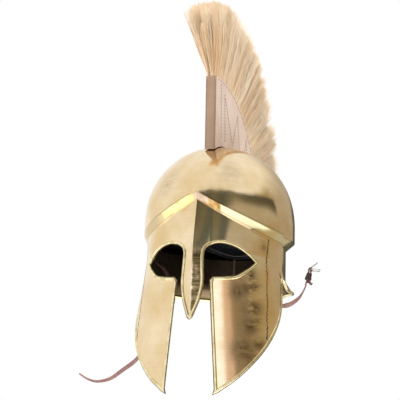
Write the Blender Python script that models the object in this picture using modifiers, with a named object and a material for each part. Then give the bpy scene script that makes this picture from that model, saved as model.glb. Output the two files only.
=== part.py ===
"""A brass helmet of the Corinthian kind with a bristle crest, a leather liner and two free chin straps.

Metres, +Z up, the face towards -Y and the wearer's left towards +X. The origin is where the helmet sits
on the top of the head. Heights in this file are measured from the eye line, and place() moves them there.
"""

import math

import bmesh
import bpy
from mathutils import Vector

# Crown, outside
DOME_HALF_WIDTH = 0.099
DOME_HALF_LENGTH = 0.108
DOME_CENTRE_Y = 0.008
DOME_SHOULDER = 0.045
CROWN_HEIGHT = 0.153
DOME_ROUNDNESS = 2.1

# Brow ledge: the crown's sharp lower edge, and the strip under it
LEDGE_APEX = 0.080
LEDGE_SIDE = 0.027
LEDGE_BACK = 0.022
LEDGE_STRIP = 0.010
LEDGE_SWEEP = 1.75

# Face, cheeks and neck, outside
SHEET = 0.0012
FACE_CENTRE_Y = -0.008
WAIST_HALF_WIDTH = 0.090
FACE_DEPTH = 0.089
FOREHEAD_LEAN = 0.013
FOREHEAD_CURVE = 1.2
JAW_REACH = 0.012
JAW_CURVE = 0.7
NECK_DEPTH = 0.116
CHEEK_SPREAD = 0.024
NECK_FLARE = 0.010
NECK_FLARE_HEIGHT = 0.014
KEEL_RISE = 0.0065
KEEL_HALF_WIDTH = 0.021
KEEL_FADE = 0.4

# Edges of the sheet
CHEEK_DROP = 0.170
CHEEK_TIP_HALF_GAP = 0.0345
CHEEK_TOP_HALF_GAP = 0.0235
NECK_DROP = 0.044
EYE_CORNER = 0.0725
EYE_TOP = 0.016
EYE_BOTTOM = 0.031
NASAL_HALF_WIDTH = 0.0110
NASAL_LENGTH = 0.0785
EDGING_RADIUS = 0.0019
CORNER_CUT = 1.3
SHARP_CORNER = 35.0
CUTTER_MARGIN = 0.02

# The turn in degrees from the face's middle, and the drop as a share of CHEEK_DROP
CHEEK_EDGE = (
    (15.7, 1.00),
    (21.0, 0.955),
    (28.3, 0.90),
    (40.3, 0.79),
    (55.0, 0.64),
    (67.6, 0.485),
    (74.2, 0.375),
    (78.7, 0.235),
    (81.0, 0.155),
)
# The turn in degrees, and the drop as a share of NECK_DROP
NECK_EDGE = (
    (85.0, 0.54),
    (91.0, 0.69),
    (97.0, 0.84),
    (104.0, 0.90),
    (115.0, 0.90),
    (130.0, 0.94),
    (150.0, 0.97),
    (180.0, 1.00),
)
# The turn in degrees, and how far the neck guard's rim stands out as a share of NECK_FLARE
NECK_SPREAD = (
    (85.0, 0.00),
    (95.0, 0.35),
    (104.0, 0.95),
    (112.0, 0.80),
    (122.0, 0.25),
    (150.0, 0.35),
    (180.0, 0.70),
)
# The eye's upper edge: how far out from nasal to corner, and the height as a share of EYE_TOP
EYE_UPPER = (
    (0.00, -0.20),
    (0.01, 0.25),
    (0.06, 0.62),
    (0.16, 0.88),
    (0.28, 0.99),
    (0.39, 1.00),
    (0.55, 0.86),
    (0.70, 0.58),
    (0.85, 0.12),
    (1.00, -0.55),
)
# The eye's lower edge: how far out from cheek to corner, and the drop as a share of EYE_BOTTOM
EYE_LOWER = (
    (0.87, 0.56),
    (0.65, 0.86),
    (0.50, 0.95),
    (0.25, 0.99),
    (0.06, 1.00),
)
# The nasal's edge: the height as a share of NASAL_LENGTH, and the half width as a share of NASAL_HALF_WIDTH
NASAL_EDGE = (
    (-0.985, 0.14),
    (-0.90, 0.37),
    (-0.75, 0.75),
    (-0.60, 1.00),
    (-0.44, 1.13),
    (-0.22, 1.05),
)

# Liner, and the gaps between pieces. At the face its edge is just over the ledge, and behind it hangs free
LINER = 0.002
GAP = 0.0004
LINER_ABOVE_LEDGE = 0.004
LINER_BEHIND_EAR = 0.028
LINER_EAR_TURN = 148.0
LINER_BACK = 0.014
LINER_HANG = 0.018
LINER_DRAW_IN = 0.0095
TIE_WIDTH = 0.003
TIE_LENGTH = 0.053
TIE_TURN = 185.0
TIE_BOW = 0.006
LACE = 0.0014

# Crest: arcs are about a point in the middle plane, angles from straight up, positive to the back
CREST_CENTRE_Y = -0.020
CREST_CENTRE_HEIGHT = 0.043
HOLDER_RADIUS = 0.200
HOLDER_WIDTH = 0.014
HOLDER_FRONT_Y = -0.043
HOLDER_END_ANGLE = 95.0
LEATHER = 0.002
PANEL_FOOT_GAP = 0.0010
STRIP_FOOT_GAP = 0.0007
BACKING_DEPTH = 0.028
POST_RADIUS = 0.003
POST_ANGLES = (8.0, 66.0)
HAIR_LENGTH = 0.102
PLUME_HALF_WIDTH = 0.022
PLUME_END_ANGLE = 0.4
LOCKS = 26
LOCK_RIDGE = 0.10
# The locks stand out from each other from this share of the hair's reach
LOCKS_FROM = 0.2
LOCK_TIP = 0.035
FRONT_LEAN = 8.5
FRONT_SHARE = 0.25

# The angle, and the hair's reach past the holder as a share of HAIR_LENGTH
HAIR_REACH = (
    (-6.0, 0.79),
    (-2.0, 0.94),
    (4.0, 0.98),
    (12.0, 1.00),
    (30.0, 0.98),
    (45.0, 0.94),
    (60.0, 0.80),
    (80.0, 0.67),
    (95.0, 0.53),
)
# How far out along the hair, and the half width as a share of PLUME_HALF_WIDTH
HAIR_SPREAD = (
    (0.00, 0.24),
    (0.12, 0.42),
    (0.40, 0.76),
    (0.72, 1.00),
    (0.95, 0.85),
)

# Chin straps
STRAP_WIDTH = 0.008
STRAP = 0.0018
TAIL_WIDTH = 0.0015
# Both straps start flat on the inside of the temples, this far up
STRAP_START_HEIGHT = 0.014
STRAP_START_LENGTH = 0.009
TEMPLE_GAP = 0.0006
# The direction of each strap's width at its start, of the right one's at its tail,
# and of the left one's where it leaves the cheek, at this share of its way to the buckle
START_ACROSS = (0.0, -1.0, -0.2)
TAIL_ACROSS = (0.25, -0.65, 0.72)
EXIT_ACROSS = (-0.17, -0.88, 0.35)
EXIT_SHARE = 0.54
# The shares of a strap's way over which its width turns
FIRST_TWIST = 0.15
LAST_TWIST = 0.85
# The right strap below that: side, depth and height of its middle line, and the share of its width there
RIGHT_STRAP_ROUTE = (
    (-0.0800, -0.013, -0.001, 1.0),
    (-0.0690, -0.021, -0.008, 1.0),
    (-0.0575, -0.031, -0.0215, 1.0),
    (-0.0450, -0.044, -0.041, 1.0),
    (-0.0430, -0.051, -0.060, 1.0),
    (-0.0520, -0.056, -0.084, 1.0),
    (-0.0690, -0.0585, -0.108, 1.0),
    (-0.0885, -0.058, -0.1305, 0.95),
    (-0.1066, -0.056, -0.1432, 0.80),
    (-0.1258, -0.052, -0.1548, 0.62),
    (-0.1452, -0.048, -0.1588, 0.45),
    (-0.1604, -0.044, -0.1562, 0.32),
    (-0.1751, -0.040, -0.1492, 0.18),
)
# The left strap up to its fold
LEFT_STRAP_ROUTE = (
    (0.0830, -0.0105, -0.010, 1.0),
    (0.0810, -0.012, -0.024, 1.0),
    (0.0800, -0.010, -0.042, 1.0),
    (0.0835, -0.004, -0.0535, 1.0),
    (0.0893, 0.001, -0.0574, 1.0),
    (0.0960, 0.009, -0.0555, 1.0),
    (0.1030, 0.015, -0.0500, 1.0),
    (0.1075, 0.018, -0.0448, 1.0),
    (0.1110, 0.020, -0.0385, 1.0),
    (0.1140, 0.0212, -0.0315, 1.0),
)

# Buckle, on the left strap. Its bar is BUCKLE_PLACE, from the eye line
BUCKLE_PLACE = (0.1200, 0.0225, -0.0095)
BUCKLE_TURN = 18.5
BAR_RISE = 0.12
STRAP_LEAN = 14.0
WIRE = 0.0016
BAR_CLEARANCE = 0.0004
FRAME_LENGTH = 0.012
FRAME_SIDE_CLEARANCE = 0.0005
FRAME_REST_ANGLE = 80.0
TONGUE_WIRE = 0.0012
TONGUE_REST_ANGLE = 38.0
HOOK_ANGLE = 335.0
SLOT_CLEARANCE = 0.0004
SLOT_LOW = -0.004
SLOT_HIGH = 0.006
FOLD_RETURN = 0.019
FOLD_NECK = 0.0035
FOLD_SWELL = 1.25
KEEPER_BELOW_BAR = 0.0050
KEEPER_LENGTH = 0.0085
KEEPER = 0.0012

SEAT_HEIGHT = CROWN_HEIGHT - SHEET - GAP - LINER
COLUMN_TURNS = (
    0, 5, 10, 15.7, 21, 28.3, 34, 40.3, 47.5, 55, 61, 67.6,
    74.2, 78.7, 81, 85, 91, 97, 104, 112, 122, 136, 150, 165,
)
DOME_ROWS = 9
FACE_ROWS = 9


def place(x, y, height):
    """A point given from the eye line, moved to the frame whose origin is the seat on the head."""
    return Vector((x, y, height - SEAT_HEIGHT))


def smooth(low, high, value):
    share = min(1.0, max(0.0, (value - low) / (high - low)))
    return share * share * (3 - 2 * share)


def read(table, key):
    """The second column of a table, between its rows, at a value of the first."""
    if key <= table[0][0]:
        return table[0][1]
    for (a, first), (b, second) in zip(table, table[1:]):
        if key <= b:
            return first + (second - first) * (key - a) / (b - a)
    return table[-1][1]


def curve_through(points, steps):
    """Points along a smooth curve that passes through the given ones."""
    found = []
    for i in range(len(points) - 1):
        before = points[max(0, i - 1)]
        start = points[i]
        end = points[i + 1]
        after = points[min(len(points) - 1, i + 2)]
        for k in range(steps):
            t = k / steps
            found.append(tuple(
                0.5 * (2 * b + (c - a) * t + (2 * a - 5 * b + 4 * c - d) * t ** 2 + (3 * b - a - 3 * c + d) * t ** 3)
                for a, b, c, d in zip(before, start, end, after)
            ))
    found.append(tuple(points[-1]))
    return found


def ledge_height(turn):
    """The height of the crown's sharp lower edge."""
    turn = abs(turn)
    if turn < 90:
        return LEDGE_SIDE + (LEDGE_APEX - LEDGE_SIDE) * (1 - turn / 90) ** LEDGE_SWEEP
    return LEDGE_SIDE - (LEDGE_SIDE - LEDGE_BACK) * smooth(90, 180, turn)


def crown_point(turn, height, inset=0.0):
    """A point of the crown's outside, or of the surface at a depth under it."""
    rise = max(0.0, height - DOME_SHOULDER) / (CROWN_HEIGHT - inset - DOME_SHOULDER)
    share = max(0.0, 1 - rise ** DOME_ROUNDNESS) ** (1 / DOME_ROUNDNESS)
    angle = math.radians(turn)
    x = (DOME_HALF_WIDTH - inset) * math.sin(angle) * share
    y = DOME_CENTRE_Y - (DOME_HALF_LENGTH - inset) * math.cos(angle) * share
    return x, y, height


def face_point(turn, height):
    """A point of the outside of the face, cheeks and neck."""
    away = abs(turn)
    low = max(0.0, -height) / CHEEK_DROP
    cheek = 1 - smooth(80, 100, away)
    below = max(0.0, edge_height(max(NECK_EDGE[0][0], away)) + NECK_FLARE_HEIGHT - height) / NECK_FLARE_HEIGHT
    flare = NECK_FLARE * read(NECK_SPREAD, away) * below
    half_width = WAIST_HALF_WIDTH + CHEEK_SPREAD * low * cheek + flare
    if away <= 90:
        depth = FACE_DEPTH + JAW_REACH * low ** JAW_CURVE
        depth -= FOREHEAD_LEAN * (max(0.0, height) / LEDGE_APEX) ** FOREHEAD_CURVE
    else:
        depth = NECK_DEPTH + flare
    angle = math.radians(turn)
    x = half_width * math.sin(angle)
    y = FACE_CENTRE_Y - depth * math.cos(angle)
    if away < 90:
        fade = 1 - KEEL_FADE * smooth(0.0, LEDGE_APEX, height)
        y -= KEEL_RISE * fade * max(0.0, 1 - abs(x) / KEEL_HALF_WIDTH)
    return x, y, height


def edge_height(turn):
    """The height of the sheet's lower edge, from the cheek's tip round to the nape."""
    away = abs(turn)
    if away <= CHEEK_EDGE[-1][0]:
        return -CHEEK_DROP * read(CHEEK_EDGE, away)
    if away >= NECK_EDGE[0][0]:
        return -NECK_DROP * read(NECK_EDGE, away)
    last = CHEEK_EDGE[-1]
    first = NECK_EDGE[0]
    share = (away - last[0]) / (first[0] - last[0])
    return -CHEEK_DROP * last[1] * (1 - share) - NECK_DROP * first[1] * share


def face_depth_at(x, height):
    """The outside of the face straight in front, found by halving the turn."""
    low = 0.0
    high = 89.0
    for _ in range(40):
        middle = (low + high) / 2
        if face_point(middle, height)[0] < abs(x):
            low = middle
        else:
            high = middle
    return face_point(low, height)[1]


def opening_edge():
    """Half of the front opening, side and height: up the nasal, round the eye, down the cheek's inner edge."""
    nasal = [(NASAL_HALF_WIDTH * width, NASAL_LENGTH * height) for height, width in NASAL_EDGE]
    reach = EYE_CORNER - NASAL_HALF_WIDTH
    upper = [(NASAL_HALF_WIDTH + reach * out, EYE_TOP * up) for out, up in EYE_UPPER]
    tip = [(0.0, -NASAL_LENGTH)]
    inner = curve_through(nasal + upper, 2)
    lower_reach = EYE_CORNER - CHEEK_TOP_HALF_GAP
    lower = [(CHEEK_TOP_HALF_GAP + lower_reach * out, -EYE_BOTTOM * down) for out, down in EYE_LOWER]
    outer = curve_through([upper[-1]] + lower, 2)[1:]
    cheek = []
    corner = (CHEEK_TOP_HALF_GAP, -EYE_BOTTOM)
    for share in (0.02, 0.08, 0.35, 0.65, 0.97):
        x = corner[0] + (CHEEK_TIP_HALF_GAP - corner[0]) * share
        cheek.append((x, corner[1] - (CHEEK_DROP - EYE_BOTTOM) * share))
    return tip + inner + outer + cheek


def material(name, colour, roughness, metallic=0.0):
    made = bpy.data.materials.new(name)
    made.use_nodes = True
    shader = made.node_tree.nodes["Principled BSDF"]
    shader.inputs["Base Color"].default_value = (*colour, 1.0)
    shader.inputs["Roughness"].default_value = roughness
    shader.inputs["Metallic"].default_value = metallic
    made.diffuse_color = (*colour, 1.0)
    return made


def add(name, mesh, finish, home):
    piece = bpy.data.objects.new(name, mesh)
    home.objects.link(piece)
    if finish:
        mesh.materials.append(finish)
        mesh.shade_smooth()
        mesh.set_sharp_from_angle(angle=math.radians(35))
    return piece


def mesh_from(name, points, faces):
    mesh = bpy.data.meshes.new(name)
    mesh.from_pydata([tuple(point) for point in points], [], faces)
    tidy = bmesh.new()
    tidy.from_mesh(mesh)
    bmesh.ops.recalc_face_normals(tidy, faces=tidy.faces)
    tidy.to_mesh(mesh)
    tidy.free()
    return mesh


def loft(name, rings):
    """A closed solid through rings of points, each ring with as many points as the first."""
    count = len(rings[0])
    points = [point for ring in rings for point in ring]
    faces = []
    for i in range(len(rings) - 1):
        for k in range(count):
            after = (k + 1) % count
            faces.append((i * count + k, i * count + after, (i + 1) * count + after, (i + 1) * count + k))
    faces.append(tuple(range(count)))
    faces.append(tuple(range((len(rings) - 1) * count, len(rings) * count)))
    return mesh_from(name, points, faces)


def prism(name, outline, along):
    """A closed solid: a flat outline of points, pushed along a vector."""
    shape = bmesh.new()
    face = shape.faces.new([shape.verts.new(point) for point in outline])
    pushed = bmesh.ops.extrude_face_region(shape, geom=[face])
    moved = [item for item in pushed["geom"] if isinstance(item, bmesh.types.BMVert)]
    bmesh.ops.translate(shape, verts=moved, vec=along)
    bmesh.ops.recalc_face_normals(shape, faces=shape.faces)
    mesh = bpy.data.meshes.new(name)
    shape.to_mesh(mesh)
    shape.free()
    return mesh


def wire(name, points, radius, home, closed=True, sides=2):
    """A round wire along points, as a mesh whose caps are joined to its sides."""
    curve = bpy.data.curves.new(name, "CURVE")
    curve.dimensions = "3D"
    curve.bevel_depth = radius
    curve.bevel_resolution = sides
    curve.use_fill_caps = True
    spline = curve.splines.new("POLY")
    spline.points.add(len(points) - 1)
    for target, point in zip(spline.points, points):
        target.co = (*point, 1.0)
    spline.use_cyclic_u = closed
    guide = bpy.data.objects.new(name + "_guide", curve)
    home.objects.link(guide)
    bpy.context.view_layer.update()
    mesh = bpy.data.meshes.new_from_object(guide.evaluated_get(bpy.context.evaluated_depsgraph_get()))
    bpy.data.objects.remove(guide)
    joined = bmesh.new()
    joined.from_mesh(mesh)
    bmesh.ops.remove_doubles(joined, verts=joined.verts, dist=0.00001)
    bmesh.ops.recalc_face_normals(joined, faces=joined.faces)
    joined.to_mesh(mesh)
    joined.free()
    return mesh


def helper(piece):
    piece.hide_render = True
    piece.display_type = "WIRE"
    return piece


def boolean(piece, other, operation):
    cut = piece.modifiers.new(operation.lower(), "BOOLEAN")
    cut.object = other
    cut.operation = operation
    cut.solver = "EXACT"
    cut.use_self = operation == "UNION"


def all_turns():
    """Every column of the shell's grid, once round, with the middle of the face first."""
    left = list(COLUMN_TURNS)
    return left + [180.0] + [-turn for turn in reversed(left[1:])]


def grid_faces(rows, columns, first):
    faces = []
    for i in range(rows - 1):
        for k in range(columns):
            after = (k + 1) % columns
            a = first + i * columns
            b = a + columns
            faces.append((a + k, a + after, b + after, b + k))
    return faces


def shell_surface():
    """The helmet's outside as one open sheet, from the crown's top to the lower edge."""
    turns = all_turns()
    points = [place(0.0, DOME_CENTRE_Y, CROWN_HEIGHT)]
    for row in range(1, DOME_ROWS + 1):
        fall = math.cos(math.pi / 2 * row / DOME_ROWS)
        for turn in turns:
            edge = ledge_height(turn)
            points.append(place(*crown_point(turn, edge + (CROWN_HEIGHT - edge) * fall)))
    for row in range(FACE_ROWS + 1):
        for turn in turns:
            top = ledge_height(turn) - LEDGE_STRIP
            bottom = edge_height(turn)
            points.append(place(*face_point(turn, top + (bottom - top) * row / FACE_ROWS)))
    columns = len(turns)
    faces = [(0, 1 + (k + 1) % columns, 1 + k) for k in range(columns)]
    faces += grid_faces(DOME_ROWS + FACE_ROWS + 1, columns, 1)
    return mesh_from("helmet_shell", points, faces)


def front_edge_points(side):
    """The front opening's edge on the sheet's middle surface, from the nasal's tip to the cheek's tip."""
    found = []
    for x, height in opening_edge():
        found.append(place(side * x, face_depth_at(x, height) + SHEET / 2, height))
    return found


def lower_edge_points():
    """The lower edge on the sheet's middle surface, from the left cheek's tip round the nape to the right's."""
    turns = []
    for turn in all_turns():
        if turn > CHEEK_EDGE[0][0]:
            turns.append(turn)
    turns = turns + [-turn for turn in reversed(turns[:-1])]
    found = []
    for turn in turns:
        x, y, height = face_point(turn, edge_height(turn))
        inward = Vector((x, y - FACE_CENTRE_Y, 0.0)).normalized() * (SHEET / 2)
        found.append(place(x, y, height) - inward)
    return found


def edging_loop():
    """The sheet has one long edge: round both eyes, the nasal, both cheek guards and the neck guard."""
    left = front_edge_points(1)
    right = front_edge_points(-1)
    loop = left + lower_edge_points() + list(reversed(right[1:]))
    return rounded(loop, EDGING_RADIUS * CORNER_CUT)


def rounded(loop, radius):
    """The loop with each sharp corner cut by two points, so that a tube along it stays whole."""
    found = []
    for i, point in enumerate(loop):
        before = loop[i - 1]
        after = loop[(i + 1) % len(loop)]
        back = before - point
        ahead = after - point
        if back.angle(-ahead) < math.radians(SHARP_CORNER):
            found.append(point)
            continue
        reach = min(radius, back.length * 0.45, ahead.length * 0.45)
        start = point + back.normalized() * reach
        end = point + ahead.normalized() * reach
        found += [start, point * 0.5 + (start + end) * 0.25, end]
    return found


def make_shell(home, cutters, finish):
    piece = add("helmet_shell", shell_surface(), finish, home)
    wall = piece.modifiers.new("sheet", "SOLIDIFY")
    wall.thickness = SHEET
    wall.offset = -1.0
    wall.use_even_offset = True
    half = opening_edge()
    below = -CHEEK_DROP - CUTTER_MARGIN
    outline = half + [(CHEEK_TIP_HALF_GAP, below), (-CHEEK_TIP_HALF_GAP, below)]
    outline += [(-x, height) for x, height in reversed(half[1:])]
    near = FACE_CENTRE_Y - FACE_DEPTH - JAW_REACH - KEEL_RISE - CUTTER_MARGIN
    far = FACE_CENTRE_Y - FACE_DEPTH / 2
    flat = [place(x, near, height) for x, height in outline]
    opening = helper(add("face_opening", prism("face_opening", flat, (0, far - near, 0)), None, cutters))
    boolean(piece, opening, "DIFFERENCE")
    tube = wire("edging", edging_loop(), EDGING_RADIUS, cutters, sides=1)
    edging = helper(add("edging", tube, None, cutters))
    boolean(piece, edging, "UNION")
    return piece


def liner_edge(turn):
    """The height of the liner's lower edge."""
    away = abs(turn)
    if away <= 90:
        return ledge_height(away) + LINER_ABOVE_LEDGE
    side = ledge_height(90) + LINER_ABOVE_LEDGE
    if away <= LINER_EAR_TURN:
        return side + (LINER_BEHIND_EAR - side) * (away - 90) / (LINER_EAR_TURN - 90)
    share = (away - LINER_EAR_TURN) / (180 - LINER_EAR_TURN)
    return LINER_BEHIND_EAR + (LINER_BACK - LINER_BEHIND_EAR) * math.sin(math.pi / 2 * share)


def make_liner(home, finish):
    """A cap that follows the crown's inside at a small gap, and draws in from the wall towards its edge."""
    turns = all_turns()
    columns = len(turns)
    outer_inset = SHEET + GAP
    rings = []
    for inset in (outer_inset, outer_inset + LINER):
        points = [place(0.0, DOME_CENTRE_Y, CROWN_HEIGHT - inset)]
        for row in range(1, DOME_ROWS + 1):
            fall = math.cos(math.pi / 2 * row / DOME_ROWS)
            for turn in turns:
                edge = liner_edge(turn)
                height = edge + (CROWN_HEIGHT - inset - edge) * fall
                drawn = LINER_DRAW_IN * (1 - smooth(edge, edge + LINER_HANG, height))
                x, y, _ = crown_point(turn, height, inset)
                out = 1 - drawn / math.hypot(x, y - DOME_CENTRE_Y)
                points.append(place(x * out, DOME_CENTRE_Y + (y - DOME_CENTRE_Y) * out, height))
        rings.append(points)
    shift = len(rings[0])
    faces = []
    for first in (0, shift):
        faces += [(first, first + 1 + (k + 1) % columns, first + 1 + k) for k in range(columns)]
        faces += grid_faces(DOME_ROWS, columns, first + 1)
    last = 1 + (DOME_ROWS - 1) * columns
    for k in range(columns):
        after = (k + 1) % columns
        faces.append((last + k, last + after, shift + last + after, shift + last + k))
    return add("liner", mesh_from("liner", rings[0] + rings[1], faces), finish, home)


def crest_point(angle, radius, x=0.0):
    """A point at an angle and radius about the crest's centre."""
    turn = math.radians(angle)
    return place(x, CREST_CENTRE_Y + radius * math.sin(turn), CREST_CENTRE_HEIGHT + radius * math.cos(turn))


def crown_radius(angle):
    """How far the crown's outside is from the crest's centre, in the middle plane."""
    turn = math.radians(angle)
    low = 0.0
    high = HOLDER_RADIUS
    for _ in range(40):
        middle = (low + high) / 2
        y = CREST_CENTRE_Y + middle * math.sin(turn) - DOME_CENTRE_Y
        rise = max(0.0, CREST_CENTRE_HEIGHT + middle * math.cos(turn) - DOME_SHOULDER)
        rise /= CROWN_HEIGHT - DOME_SHOULDER
        if (abs(y) / DOME_HALF_LENGTH) ** DOME_ROUNDNESS + rise ** DOME_ROUNDNESS < 1:
            low = middle
        else:
            high = middle
    return low


def holder_start_angle():
    return math.degrees(math.asin((HOLDER_FRONT_Y + LEATHER + GAP - CREST_CENTRE_Y) / HOLDER_RADIUS))


def foot_angle(y):
    """The angle at which the crown passes a given depth, in front of the crest's centre."""
    low = -60.0
    high = 0.0
    for _ in range(40):
        middle = (low + high) / 2
        if CREST_CENTRE_Y + crown_radius(middle) * math.sin(math.radians(middle)) < y:
            low = middle
        else:
            high = middle
    return low


def make_panel(name, side, home, finish):
    """A flat crescent of leather between the crown and the hair."""
    start_y = HOLDER_FRONT_Y + LEATHER + GAP
    outer = [crest_point(angle, HOLDER_RADIUS) for angle in steps(holder_start_angle(), HOLDER_END_ANGLE, 26)]
    foot = foot_angle(start_y)
    inner = []
    for angle in steps(HOLDER_END_ANGLE, foot, 26):
        inner.append(crest_point(angle, crown_radius(angle) + PANEL_FOOT_GAP))
    inner[-1].y = start_y
    x = side * (HOLDER_WIDTH / 2 - LEATHER) if side > 0 else -HOLDER_WIDTH / 2
    outline = [Vector((x, point.y, point.z)) for point in outer + inner]
    return add(name, prism(name, outline, (LEATHER, 0, 0)), finish, home)


def steps(first, last, count):
    return [first + (last - first) * i / (count - 1) for i in range(count)]


def make_front_strip(home, finish):
    top = crest_point(holder_start_angle(), HOLDER_RADIUS)
    angle = foot_angle(HOLDER_FRONT_Y + LEATHER)
    low = crest_point(angle, crown_radius(angle)).z + STRIP_FOOT_GAP
    half = HOLDER_WIDTH / 2
    outline = [
        Vector((-half, HOLDER_FRONT_Y, low)),
        Vector((half, HOLDER_FRONT_Y, low)),
        Vector((half, HOLDER_FRONT_Y, top.z)),
        Vector((-half, HOLDER_FRONT_Y, top.z)),
    ]
    return add("crest_front_strip", prism("crest_front_strip", outline, (0, LEATHER, 0)), finish, home)


def make_posts(home, finish):
    for name, angle in zip(("crest_post_front", "crest_post_rear"), POST_ANGLES):
        low = crest_point(angle, crown_radius(angle) + GAP)
        high = crest_point(angle, HOLDER_RADIUS - BACKING_DEPTH - GAP)
        bpy.ops.mesh.primitive_cylinder_add(vertices=12, radius=POST_RADIUS, depth=(high - low).length)
        post = bpy.context.active_object
        post.name = name
        post.location = (low + high) / 2
        post.rotation_mode = "QUATERNION"
        post.rotation_quaternion = (high - low).to_track_quat("Z", "Y")
        for old in list(post.users_collection):
            old.objects.unlink(post)
        home.objects.link(post)
        post.data.materials.append(finish)


def make_plume(home, finish):
    """Locks of hair side by side along the arc, fused at the root to the backing between the panels."""
    root_half = HOLDER_WIDTH / 2 - LEATHER - GAP
    start = holder_start_angle() + PLUME_END_ANGLE
    end = HOLDER_END_ANGLE - PLUME_END_ANGLE
    rings = []
    for i in range(2 * LOCKS + 1):
        share = i / (2 * LOCKS)
        angle = start + (end - start) * share
        ridge = 1 + LOCK_RIDGE * (0.5 if i % 2 else -0.5)
        reach = HAIR_LENGTH * read(HAIR_REACH, angle) * (1 + LOCK_TIP * math.cos(math.pi * i))
        lean = -FRONT_LEAN * (1 - smooth(0.0, FRONT_SHARE, share))
        left = [
            crest_point(angle, HOLDER_RADIUS - BACKING_DEPTH, root_half),
            crest_point(angle, HOLDER_RADIUS, root_half),
        ]
        for out, width in HAIR_SPREAD[1:]:
            half = PLUME_HALF_WIDTH * width * (ridge if out > LOCKS_FROM else 1.0)
            left.append(crest_point(angle + lean * out, HOLDER_RADIUS + reach * out, half))
        tip = crest_point(angle + lean, HOLDER_RADIUS + reach)
        right = [Vector((-point.x, point.y, point.z)) for point in reversed(left)]
        rings.append(left + [tip] + right)
    return add("plume", loft("plume", rings), finish, home)


def make_tie(home, finish):
    """A lace that hangs from the liner's back edge, just off the inside of the neck."""
    top = liner_edge(TIE_TURN - 360) - GAP
    rings = []
    for share in (0.0, 0.15, 0.4, 0.7, 1.0):
        height = top - TIE_LENGTH * share
        x, y, _ = face_point(TIE_TURN, LEDGE_BACK - LEDGE_STRIP)
        back = y - 2 * SHEET - GAP - TIE_BOW * share * (1 - share)
        ring = []
        for side, depth in ((-1, 0), (1, 0), (1, -1), (-1, -1)):
            ring.append(place(x + side * TIE_WIDTH / 2, back + depth * LACE, height))
        rings.append(ring)
    return add("liner_tie", loft("liner_tie", rings), finish, home)


def ribbon(name, stations):
    """A flat strap through stations of middle point, width direction, width and thickness direction."""
    rings = []
    for middle, across, width, normal in stations:
        half = across * (width / 2)
        thick = normal * (STRAP / 2)
        low = middle - thick
        high = middle + thick
        rings.append([low - half, low + half, high + half, high - half])
    return loft(name, rings)


def strap_stations(points, widths, twist):
    """Stations along a route. A row of twist is a share of the way, and the direction of the width there."""
    stations = []
    for i, point in enumerate(points):
        ahead = points[min(i + 1, len(points) - 1)] - points[max(i - 1, 0)]
        ahead.normalize()
        share = i / (len(points) - 1)
        across = Vector(twist[0][1])
        for (low, _), (high, direction) in zip(twist, twist[1:]):
            across = across.lerp(Vector(direction), smooth(low, high, share))
        across = (across - ahead * across.dot(ahead)).normalized()
        stations.append((point, across, widths[i], ahead.cross(across)))
    return stations


def route_points(route, steps_each):
    side = math.copysign(WAIST_HALF_WIDTH - SHEET - TEMPLE_GAP - STRAP / 2, route[0][0])
    start = [
        (side, FACE_CENTRE_Y, STRAP_START_HEIGHT, 1.0),
        (side, FACE_CENTRE_Y, STRAP_START_HEIGHT - STRAP_START_LENGTH, 1.0),
    ]
    points = []
    widths = []
    for x, y, height, share in start[:1] + curve_through(start[1:] + list(route), steps_each):
        points.append(place(x, y, height))
        widths.append(max(TAIL_WIDTH, STRAP_WIDTH * share))
    return points, widths


def make_right_strap(home, finish):
    points, widths = route_points(RIGHT_STRAP_ROUTE, 2)
    stations = strap_stations(points, widths, ((FIRST_TWIST, START_ACROSS), (LAST_TWIST, TAIL_ACROSS)))
    return add("chin_strap_right", ribbon("chin_strap_right", stations), finish, home)


def buckle_axes():
    """The bar's direction, the strap's direction at the bar, and the direction across both."""
    turn = math.radians(BUCKLE_TURN)
    right = Vector((math.cos(turn), math.sin(turn), 0.0))
    bar = Vector((math.sin(turn), -math.cos(turn), BAR_RISE)).normalized()
    lean = math.radians(STRAP_LEAN)
    up = Vector((0, 0, 1)) * math.cos(lean) + right * math.sin(lean)
    up = (up - bar * up.dot(bar)).normalized()
    return bar, up, up.cross(bar)


def buckle_point(along_strap, across, along_bar=0.0):
    bar, up, side = buckle_axes()
    return place(*BUCKLE_PLACE) + up * along_strap + side * across + bar * along_bar


def make_left_strap(home, cutters, finish):
    """The strap runs up to the bar, round it, and back down inside the keeper."""
    points, widths = route_points(LEFT_STRAP_ROUTE, 2)
    bar = buckle_axes()[0]
    turn_radius = WIRE / 2 + BAR_CLEARANCE + STRAP / 2
    leg = STRAP / 2 + GAP / 2
    twist = ((FIRST_TWIST, START_ACROSS), (EXIT_SHARE, EXIT_ACROSS), (1.0, bar))
    stations = strap_stations(points, widths, twist)
    fold = [(-FOLD_RETURN, -leg), (-FOLD_RETURN / 2, -leg), (-FOLD_NECK, -leg * FOLD_SWELL)]
    for angle in steps(-100, 100, 9):
        turn = math.radians(angle)
        fold.append((turn_radius * math.cos(turn), turn_radius * math.sin(turn)))
    fold += [(-FOLD_NECK, leg * FOLD_SWELL), (-FOLD_RETURN / 2, leg), (-FOLD_RETURN, leg)]
    middles = [buckle_point(along, across) for along, across in fold]
    for i, middle in enumerate(middles):
        ahead = (middles[min(i + 1, len(middles) - 1)] - middles[max(i - 1, 0)]).normalized()
        stations.append((middle, bar, STRAP_WIDTH, ahead.cross(bar)))
    strap = add("chin_strap_left", ribbon("chin_strap_left", stations), finish, home)
    slot = TONGUE_WIRE / 2 + SLOT_CLEARANCE
    corners = ((SLOT_LOW, -SLOT_HIGH), (SLOT_LOW, SLOT_HIGH), (SLOT_HIGH, SLOT_HIGH), (SLOT_HIGH, -SLOT_HIGH))
    outline = [buckle_point(along, across, -slot) for along, across in corners]
    cutter = helper(add("tongue_slot", prism("tongue_slot", outline, bar * (2 * slot)), None, cutters))
    boolean(strap, cutter, "DIFFERENCE")
    return strap


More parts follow.
